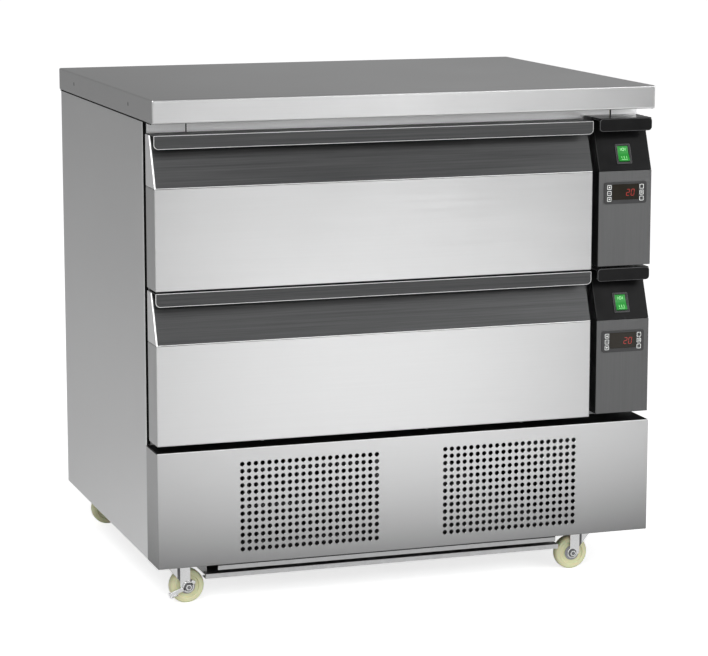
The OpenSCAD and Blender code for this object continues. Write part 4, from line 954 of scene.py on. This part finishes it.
# Plain marks for the six keys: arrows, bars, a ring, a cross and a dot, each with a pale border
def makeKeyMark(s, index, place):
    size, low, high = s.keyMark, s.keyTop - 0.0002, s.keyTop + s.markTop
    arrow = np.array([[-size, -size * 0.6], [size, -size * 0.6], [0, size * 0.9]])
    bars = [rectangle(-size, y - 0.0003, size, y + 0.0003) for y in (-0.0013, 0, 0.0013)]
    shapes = {1: [arrow], 2: [centred(size, 0.0004)], 3: [-arrow], 4: bars, 5: [],
              6: [centred(size, 0.0003), centred(0.0003, size)]}[index]
    parts = [plate(shape, 0.0001, low, high, 0.00008, place, steps=2) for shape in shapes]
    if index == 5:
        parts.append(turned(rectangle(0.0011, low, 0.0017, high), 0.00008, place, 24, 1))
    return parts + [raisedLine(s.keyW / 2 - 0.0002, s.keyH / 2 - 0.0004, 0.001, 0.0007, s.keyTop,
                               place, 3)]


# Figures of the display, side by side before its window
def makeFigures(s, middle, z):
    place = frontAt(middle, s.front - s.figureOut, z + s.controllerZ)
    return [part for which, x in zip("20", s.figureX)
            for part in makeFigure(which, x, s.figureY, s.figureH, place)]


# Each module's lip highlight is a grey line round its black lip: a painted highlight
for level, z in zip(levels, control.bottom):
    middle = middleAndHalf(control)[0]
    facePlane = frontAt(middle, control.front, z + control.controllerZ)
    window = plate(rectangle(*control.window), control.windowR, *control.windowZ,
                   control.windowBevel, facePlane)
    rocker = "rocker_" + level
    for name, slotName, finish, parts, replaced, body in (
            ("module_shell_", "black_plastic", "blackGloss", makeHousing(control, z),
             ["module_housings"], "cabinet"),
            ("module_lip_highlight_", "black_plastic", "lipEdge", [makeLipHighlight(control, z)], (),
             "cabinet"),
            ("module_plate_", "dark_steel", "plateSteel", [makeFacePlate(control, z)],
             ["module_faces"], "cabinet"),
            ("switch_frame_", "black_plastic", "blackSatin", [makeSwitchBezel(control, z)],
             ["switch_bezels"], "cabinet"),
            ("switch_highlights_", "black_plastic", "shadeGrey", makeSwitchHighlights(control, z),
             (), "cabinet"),
            ("display_window_", "controller_plastic", "windowGlass", [window], (), "cabinet"),
            ("display_figures_", "controller_plastic", "digitRed",
             makeFigures(control, middle, z), (), "cabinet"),
            ("rocker_cap_", "rocker_green", "rockerGreen", [makeRocker(control, z)], [rocker],
             rocker),
            ("rocker_marks_", "rocker_green", "rockerMark", makeRockerMarks(control, z), (),
             rocker)):
        addPiece(name + level, finish, parts, replaced, body)
    for k in range(1, 7):
        place = frontAt(middle + (-1 if k < 4 else 1) * control.keyX, control.front,
                        z + control.controllerZ + (1 - (k - 1) % 3) * control.keyPitch)
        key = f"key_{level}_{k}"
        pad = plate(centred(control.keyW / 2, control.keyH / 2), control.keyR, -control.markSink,
                    control.keyTop, control.markSink, place, steps=3)
        addPiece(f"key_pad_{level}_{k}", "keyPad", [pad], [key], key)
        addPiece(f"key_mark_{level}_{k}", "paleMark",
                 makeKeyMark(control, k, place), (), key)
print("stage: control modules made")

# Swivel axis of each caster, the turn of its fork in degrees, and the side of its brake pedal
casters = {
    "front_left": (-0.4105, -0.294, 0, "left"), "front_right": (0.349, -0.294, 180, "right"),
    "rear_left": (-0.4105, 0.29, 0, None), "rear_right": (0.349, 0.29, 180, None)}
fork = Settings({
    "trail": 0.025, "axleZ": 0.03, "crownZ": 0.0707, "crownTop": 0.0737, "raceR": 0.020,
    "cheekV": 0.0105, "cheekT": 0.0025, "half": 0.009, "axleR": 0.004, "play": 0.00005,
    "nutR": 0.0057, "nutH": 0.004, "pedalRoom": 0.0036, "gussetGap": 0.004, "wheelR": 0.03,
    "wheelHalf": 0.01, "hubR": 0.0132, "hubHole": 0.0044, "washer": (0.0045, 0.0076),
    "axleHollow": (0.0005, 0.0030), "trimT": 0.0003, "bendW": 0.0045, "plateHalf": 0.035,
    "plateR": 0.004, "plateZ": 0.081, "plateTop": 0.085, "raceZ": 0.074, "raceHole": 0.002,
    "crownHole": 0.005, "boltInset": 0.009, "boltR": 0.0055, "boltH": 0.0035, "swivelNut": [
        [0.0060, 0.0684], [0.0078, 0.0688], [0.008, 0.0698], [0.008, 0.0704], [0.005, 0.0704],
        [0.005, 0.0742]]})


# Level plane of a caster: the swivel axis is at the origin, and the wheel trails along across
def casterAt(x, y, turn):
    a = math.radians(turn)
    return planeAt((x, y, 0), (math.cos(a), math.sin(a), 0), (-math.sin(a), math.cos(a), 0))


# Upright plane at a point of that plane, facing the near side, with across as the trail
def besideWheel(at, *local):
    a = math.radians(at[2])
    return planeAt(casterAt(*at)([local])[0], (math.cos(a), math.sin(a), 0), (0, 0, 1))


# How far the fork's near and far sides stand from the wheel's middle
def forkSides(s, braked):
    ear = s.cheekV + s.cheekT
    return ear + (s.pedalRoom if braked else 0), ear


# Fork: two straps with chamfered feet, thinner gussets set back beside them, a crown and the axle
def makeFork(s, at, braked):
    near, ear = forkSides(s, braked)
    t, h, f, top, z, radius = s.trail, s.half, s.half / 2, s.crownTop, s.axleZ, s.axleR
    strap = [[t - f, z - h], [t + f, z - h], [t + h, z - f], [t + h, z + f], [t + f, z + h],
             [t + f, top], [t - 1.5 * h, top], [t - 1.5 * h, z]]
    gusset = [[t - h, z + s.gussetGap], [t - h, top], [s.gussetGap - s.raceR, top]]
    parts = []
    for start, thin in ((-s.cheekV, -s.cheekV), (ear, s.cheekV + s.cheekT / 2)):
        parts += [plate(strap, 0.0012, 0, s.cheekT, 0.0006, besideWheel(at, 0, start, 0), 0.0006,
                        3),
                  plate(gusset, [0.001, 0.0005, 0.002], 0, s.cheekT / 2, 0.0004,
                        besideWheel(at, 0, thin, 0), 0.0004, 3)]
    axle = besideWheel(at, t, 0, z)
    rod = [[radius - 0.0004, -ear], [radius, 0.0004 - ear], [radius, near],
           [radius - 0.0004, near + 0.0004]]
    return parts + [
        plate(rectangle(0, -ear, t + h, ear), 0.001, s.crownZ, top, 0.0008, casterAt(*at), 0.0004),
        turned(rectangle(s.crownHole, s.crownZ, s.raceR, top), [0.0002, 0.001, 0.001, 0.0002],
               casterAt(*at)), lathe(rod, axle, 32),
        hexHead(s.nutR, near, near + s.nutH, axle), hexHead(s.nutR, -ear - s.nutH, -ear, axle)]


# Painted shade on a fork: a dark ring under each nut, a dark disc in the axle's hollow end, and a
# dark strip over the shaded bend by each gusset
def makeForkShade(s, at, braked):
    near, ear = forkSides(s, braked)
    t, w, gap, top = s.trail - s.half * 1.5, s.bendW, s.gussetGap, s.crownTop - 0.0004
    slope = (s.crownTop - s.axleZ - gap) / (s.trail - s.half + s.raceR - gap)
    low = s.axleZ + gap + 0.0006 + slope * s.half / 2
    bend = [[t - w, low + slope * w], [t, low], [t, top], [t - w, top]]
    axle = besideWheel(at, s.trail, 0, s.axleZ)
    parts = []
    for side, level in ((1, near), (-1, ear)):
        for (inner, outer), base in ((s.washer, level), (s.axleHollow, level + s.nutH)):
            a, b = sorted((side * (base - s.trimT), side * (base + s.trimT)))
            parts.append(turned(rectangle(inner, a, outer, b), 0.0001, axle, 32, 1))
        a, b = sorted((side * (s.cheekV + 0.0004), side * (s.cheekV + s.cheekT / 2 + 0.0002)))
        parts.append(plate(bend, 0.0003, a, b, 0.0001, besideWheel(at, 0, 0, 0), 0.0001, 2))
    return parts


# Wheel: a turned outline with a round tread, a raised ring and a shallow dish on either face
def makeWheel(s, at):
    r, half, bore, hub = s.wheelR, s.wheelHalf, s.axleR + s.play, s.hubR
    face = [[bore, 0.0008 - half], [hub, 0.0008 - half], [hub + 0.0008, 0.0022 - half],
            [r - 0.0105, 0.0022 - half], [r - 0.0092, -half], [r - 0.0070, -half],
            [r - 0.0064, 0.0007 - half], [r, 0.0011 - half]]
    radii = [0.0002, 0.0004, 0.0005, 0.0008, 0.0005, 0.0004, 0.0004, 0.0052]
    return [turned(face + [[radius, -level] for radius, level in face[::-1]],
                   radii + radii[::-1], besideWheel(at, s.trail, 0, s.axleZ), 72, 5)]


# Grey ring in the hub on either face
def makeHubRing(s, at):
    low, high = -s.wheelHalf - s.trimT, 0.0014 - s.wheelHalf
    return [turned(rectangle(s.hubHole, a, s.hubR, b), [0.0003, 0.0009, 0.0009, 0.0003],
                   besideWheel(at, s.trail, 0, s.axleZ)) for a, b in ((low, high), (-high, -low))]


# The arms' drop and lift are in degrees
pedal = Settings({
    "drop": {"left": 20, "right": -8}, "length": 0.036, "arm": 0.007, "eye": 0.01, "thick": 0.003,
    "tab": 0.012, "tabL": 0.014, "tabT": 0.0025, "release": 0.015, "releaseLift": 20, "v": 0.0133})


# Brake pedal: an eye round the axle with a foot arm and a release arm, and a tab on the foot arm
def makePedal(s, f, at, side):
    drop, lift, turn = (math.radians(a) for a in (s.drop[side], s.releaseLift, at[2]))
    level, upright = np.array([math.cos(turn), math.sin(turn), 0]), np.array([0, 0, 1])
    place = planeAt(casterAt(*at)([[f.trail, -s.v, f.axleZ]])[0],
                    math.cos(drop) * level + math.sin(drop) * upright,
                    math.cos(drop) * upright - math.sin(drop) * level)
    half, near = s.arm / 2, f.axleR + 0.001
    ray = np.array([math.cos(lift), math.sin(lift)])
    across = np.array([-ray[1], ray[0]]) * half
    release = [ray * near - across, ray * s.release - across, ray * s.release + across,
               ray * near + across]
    return [turned(rectangle(f.axleR + f.play, 0, s.eye, s.thick),
                   [0.0002, 0.0006, 0.0008, 0.0004], place),
            plate(rectangle(-s.length, -half, -near, half), [0.001, 0.0005, 0.0005, 0.001], 0,
                  s.thick, 0.0007, place, 0.0005),
            plate(release, [0.0005, 0.003, 0.003, 0.0005], 0, s.thick, 0.0007, place, 0.0005),
            plate(rectangle(-s.length, -half, s.tabL - s.length, s.tabT - half), 0.0008, 0.0008,
                  s.tab, 0.001, place, 0.0005)]


# Top plate with four bolt heads, the race under it and the nut of the swivel
def makeCasterTop(s, x, y):
    place, half, bolt = topAt(x, y, 0), s.plateHalf, s.plateHalf - s.boltInset
    return [plate(centred(half, half), s.plateR, s.plateZ, s.plateTop, 0.0004, place, 0.001),
            turned(rectangle(s.raceHole, s.raceZ, s.raceR, s.plateZ + 0.0005),
                   [0.0003, 0.0025, 0.0005, 0.0003], place), lathe(s.swivelNut, place, 32),
            *(hexHead(s.boltR, s.plateZ - s.boltH, s.plateZ + 0.0002,
                      topAt(x + sx * bolt, y + sy * bolt, 0)) for sx in sides for sy in sides)]


addPiece("caster_tops", "zincPlated",
         [part for x, y, _, _ in casters.values() for part in makeCasterTop(fork, x, y)],
         ["caster_plates"])
for name, (*at, side) in casters.items():
    forkBody, wheelBody, braked = "fork_" + name, "wheel_" + name, side is not None
    addPiece("fork_frame_" + name, "forkSteel", makeFork(fork, at, braked),
             [forkBody], forkBody)
    addPiece("fork_shade_" + name, "shadeGrey", makeForkShade(fork, at, braked), (),
             forkBody)
    addPiece("wheel_tyre_" + name, "wheelNylon", makeWheel(fork, at), [wheelBody],
             wheelBody)
    addPiece("wheel_hub_ring_" + name, "hubGrey", makeHubRing(fork, at), (),
             wheelBody)
    if side:
        addPiece("pedal_" + side, "forkSteel", makePedal(pedal, fork, at, side),
                 ["brake_pedal_" + side], "brake_pedal_" + side)
print("stage: casters made")

studio = Settings({
    "floorSize": 90.0, "floorTone": 0.80, "floorGlow": 0.72, "worldFront": 0.95, "worldBack": 0.30,
    "worldTop": 0.30})
# Place, aim, size and power of each lamp
lamps = {"keyLamp": ((-1.6, -2.6, 2.6), (0, 0, 0.4), 1.8, 70.0),
         "fillLamp": ((2.6, -2.2, 1.8), (0, 0, 0.4), 1.5, 30.0),
         "patchLamp": ((1.0, -3.2, 1.4), (1.0, -3.2, 0), 1.0, 25.0)}


# Pale floor that glows for the camera only
def makeFloor(s):
    mesh = bpy.data.meshes.new("floor")
    half = s.floorSize / 2
    mesh.from_pydata([(x, y, 0) for x, y in centred(half, half)], [], [(0, 1, 2, 3)])
    floor = linkObject("floor", mesh)
    material = bpy.data.materials.new("studioFloor")
    material.use_nodes = True
    tree = material.node_tree
    camera = addNode(tree, "LightPath")["Is Camera Ray"]
    feed(tree, tree.nodes["Principled BSDF"],
         {"Base Color": (s.floorTone, s.floorTone, s.floorTone, 1), "Roughness": 0.9,
          "Specular IOR Level": 0.1, "Emission Color": (1, 1, 1, 1),
          "Emission Strength": calculate(tree, "MULTIPLY", camera, s.floorGlow)})
    mesh.materials.append(material)


# World: brighter in front of the counter than behind it, and white for the camera
def makeWorld(s):
    world = bpy.data.worlds.new("studio")
    bpy.context.scene.world = world
    world.use_nodes = True
    tree = world.node_tree
    place = addNode(tree, "TexCoord")["Generated"]
    _, depth, height = addNode(tree, "SeparateXYZ", {0: place})
    blended = addNode(tree, "Mix", {0: mapValue(tree, height, 0, 1, 0.25, 0.8),
                                    2: mapValue(tree, depth, s.worldFront, s.worldBack, -0.8, 0.8),
                                    3: s.worldTop})[0]
    strength = addNode(tree, "Mix", {0: addNode(tree, "LightPath")["Is Camera Ray"], 2: blended,
                                     3: 1.0})[0]
    feed(tree, tree.nodes["Background"], {"Color": (1, 1, 1, 1), "Strength": strength})


# Square lamp turned from its place towards its aim by two angles
def addLamp(name, place, aim, size, power):
    data = bpy.data.lights.new(name, "AREA")
    data.shape = "RECTANGLE"
    data.size = data.size_y = size
    data.energy = power
    lamp = linkObject(name, data)
    lamp.location = place
    direction = np.array(place, float) - np.array(aim, float)
    pitch = math.acos(direction[2] / np.linalg.norm(direction))
    lamp.rotation_euler = (pitch, 0, math.atan2(direction[1], direction[0]) + math.pi / 2)


makeFloor(studio)
makeWorld(studio)
for name, values in lamps.items():
    addLamp(name, *values)

# Place in metres, angles in degrees and focal length in pixels of the frame
camera = Settings({"place": (-1.537, -4.650, 1.269), "yaw": 18.46, "pitch": 10.01,
                   "focal": 2717.0, "sensor": 36.0, "frameWidth": 708})
data = bpy.data.cameras.new("camera")
data.sensor_width = camera.sensor
data.sensor_fit = "HORIZONTAL"
data.lens = camera.focal / camera.frameWidth * camera.sensor
view = linkObject("camera", data)
view.location = camera.place
view.rotation_euler = (math.radians(90 - camera.pitch), 0, math.radians(-camera.yaw))
bpy.context.scene.camera = view
bpy.context.scene.view_settings.view_transform = "Standard"
print("stage: floor, light and camera made")
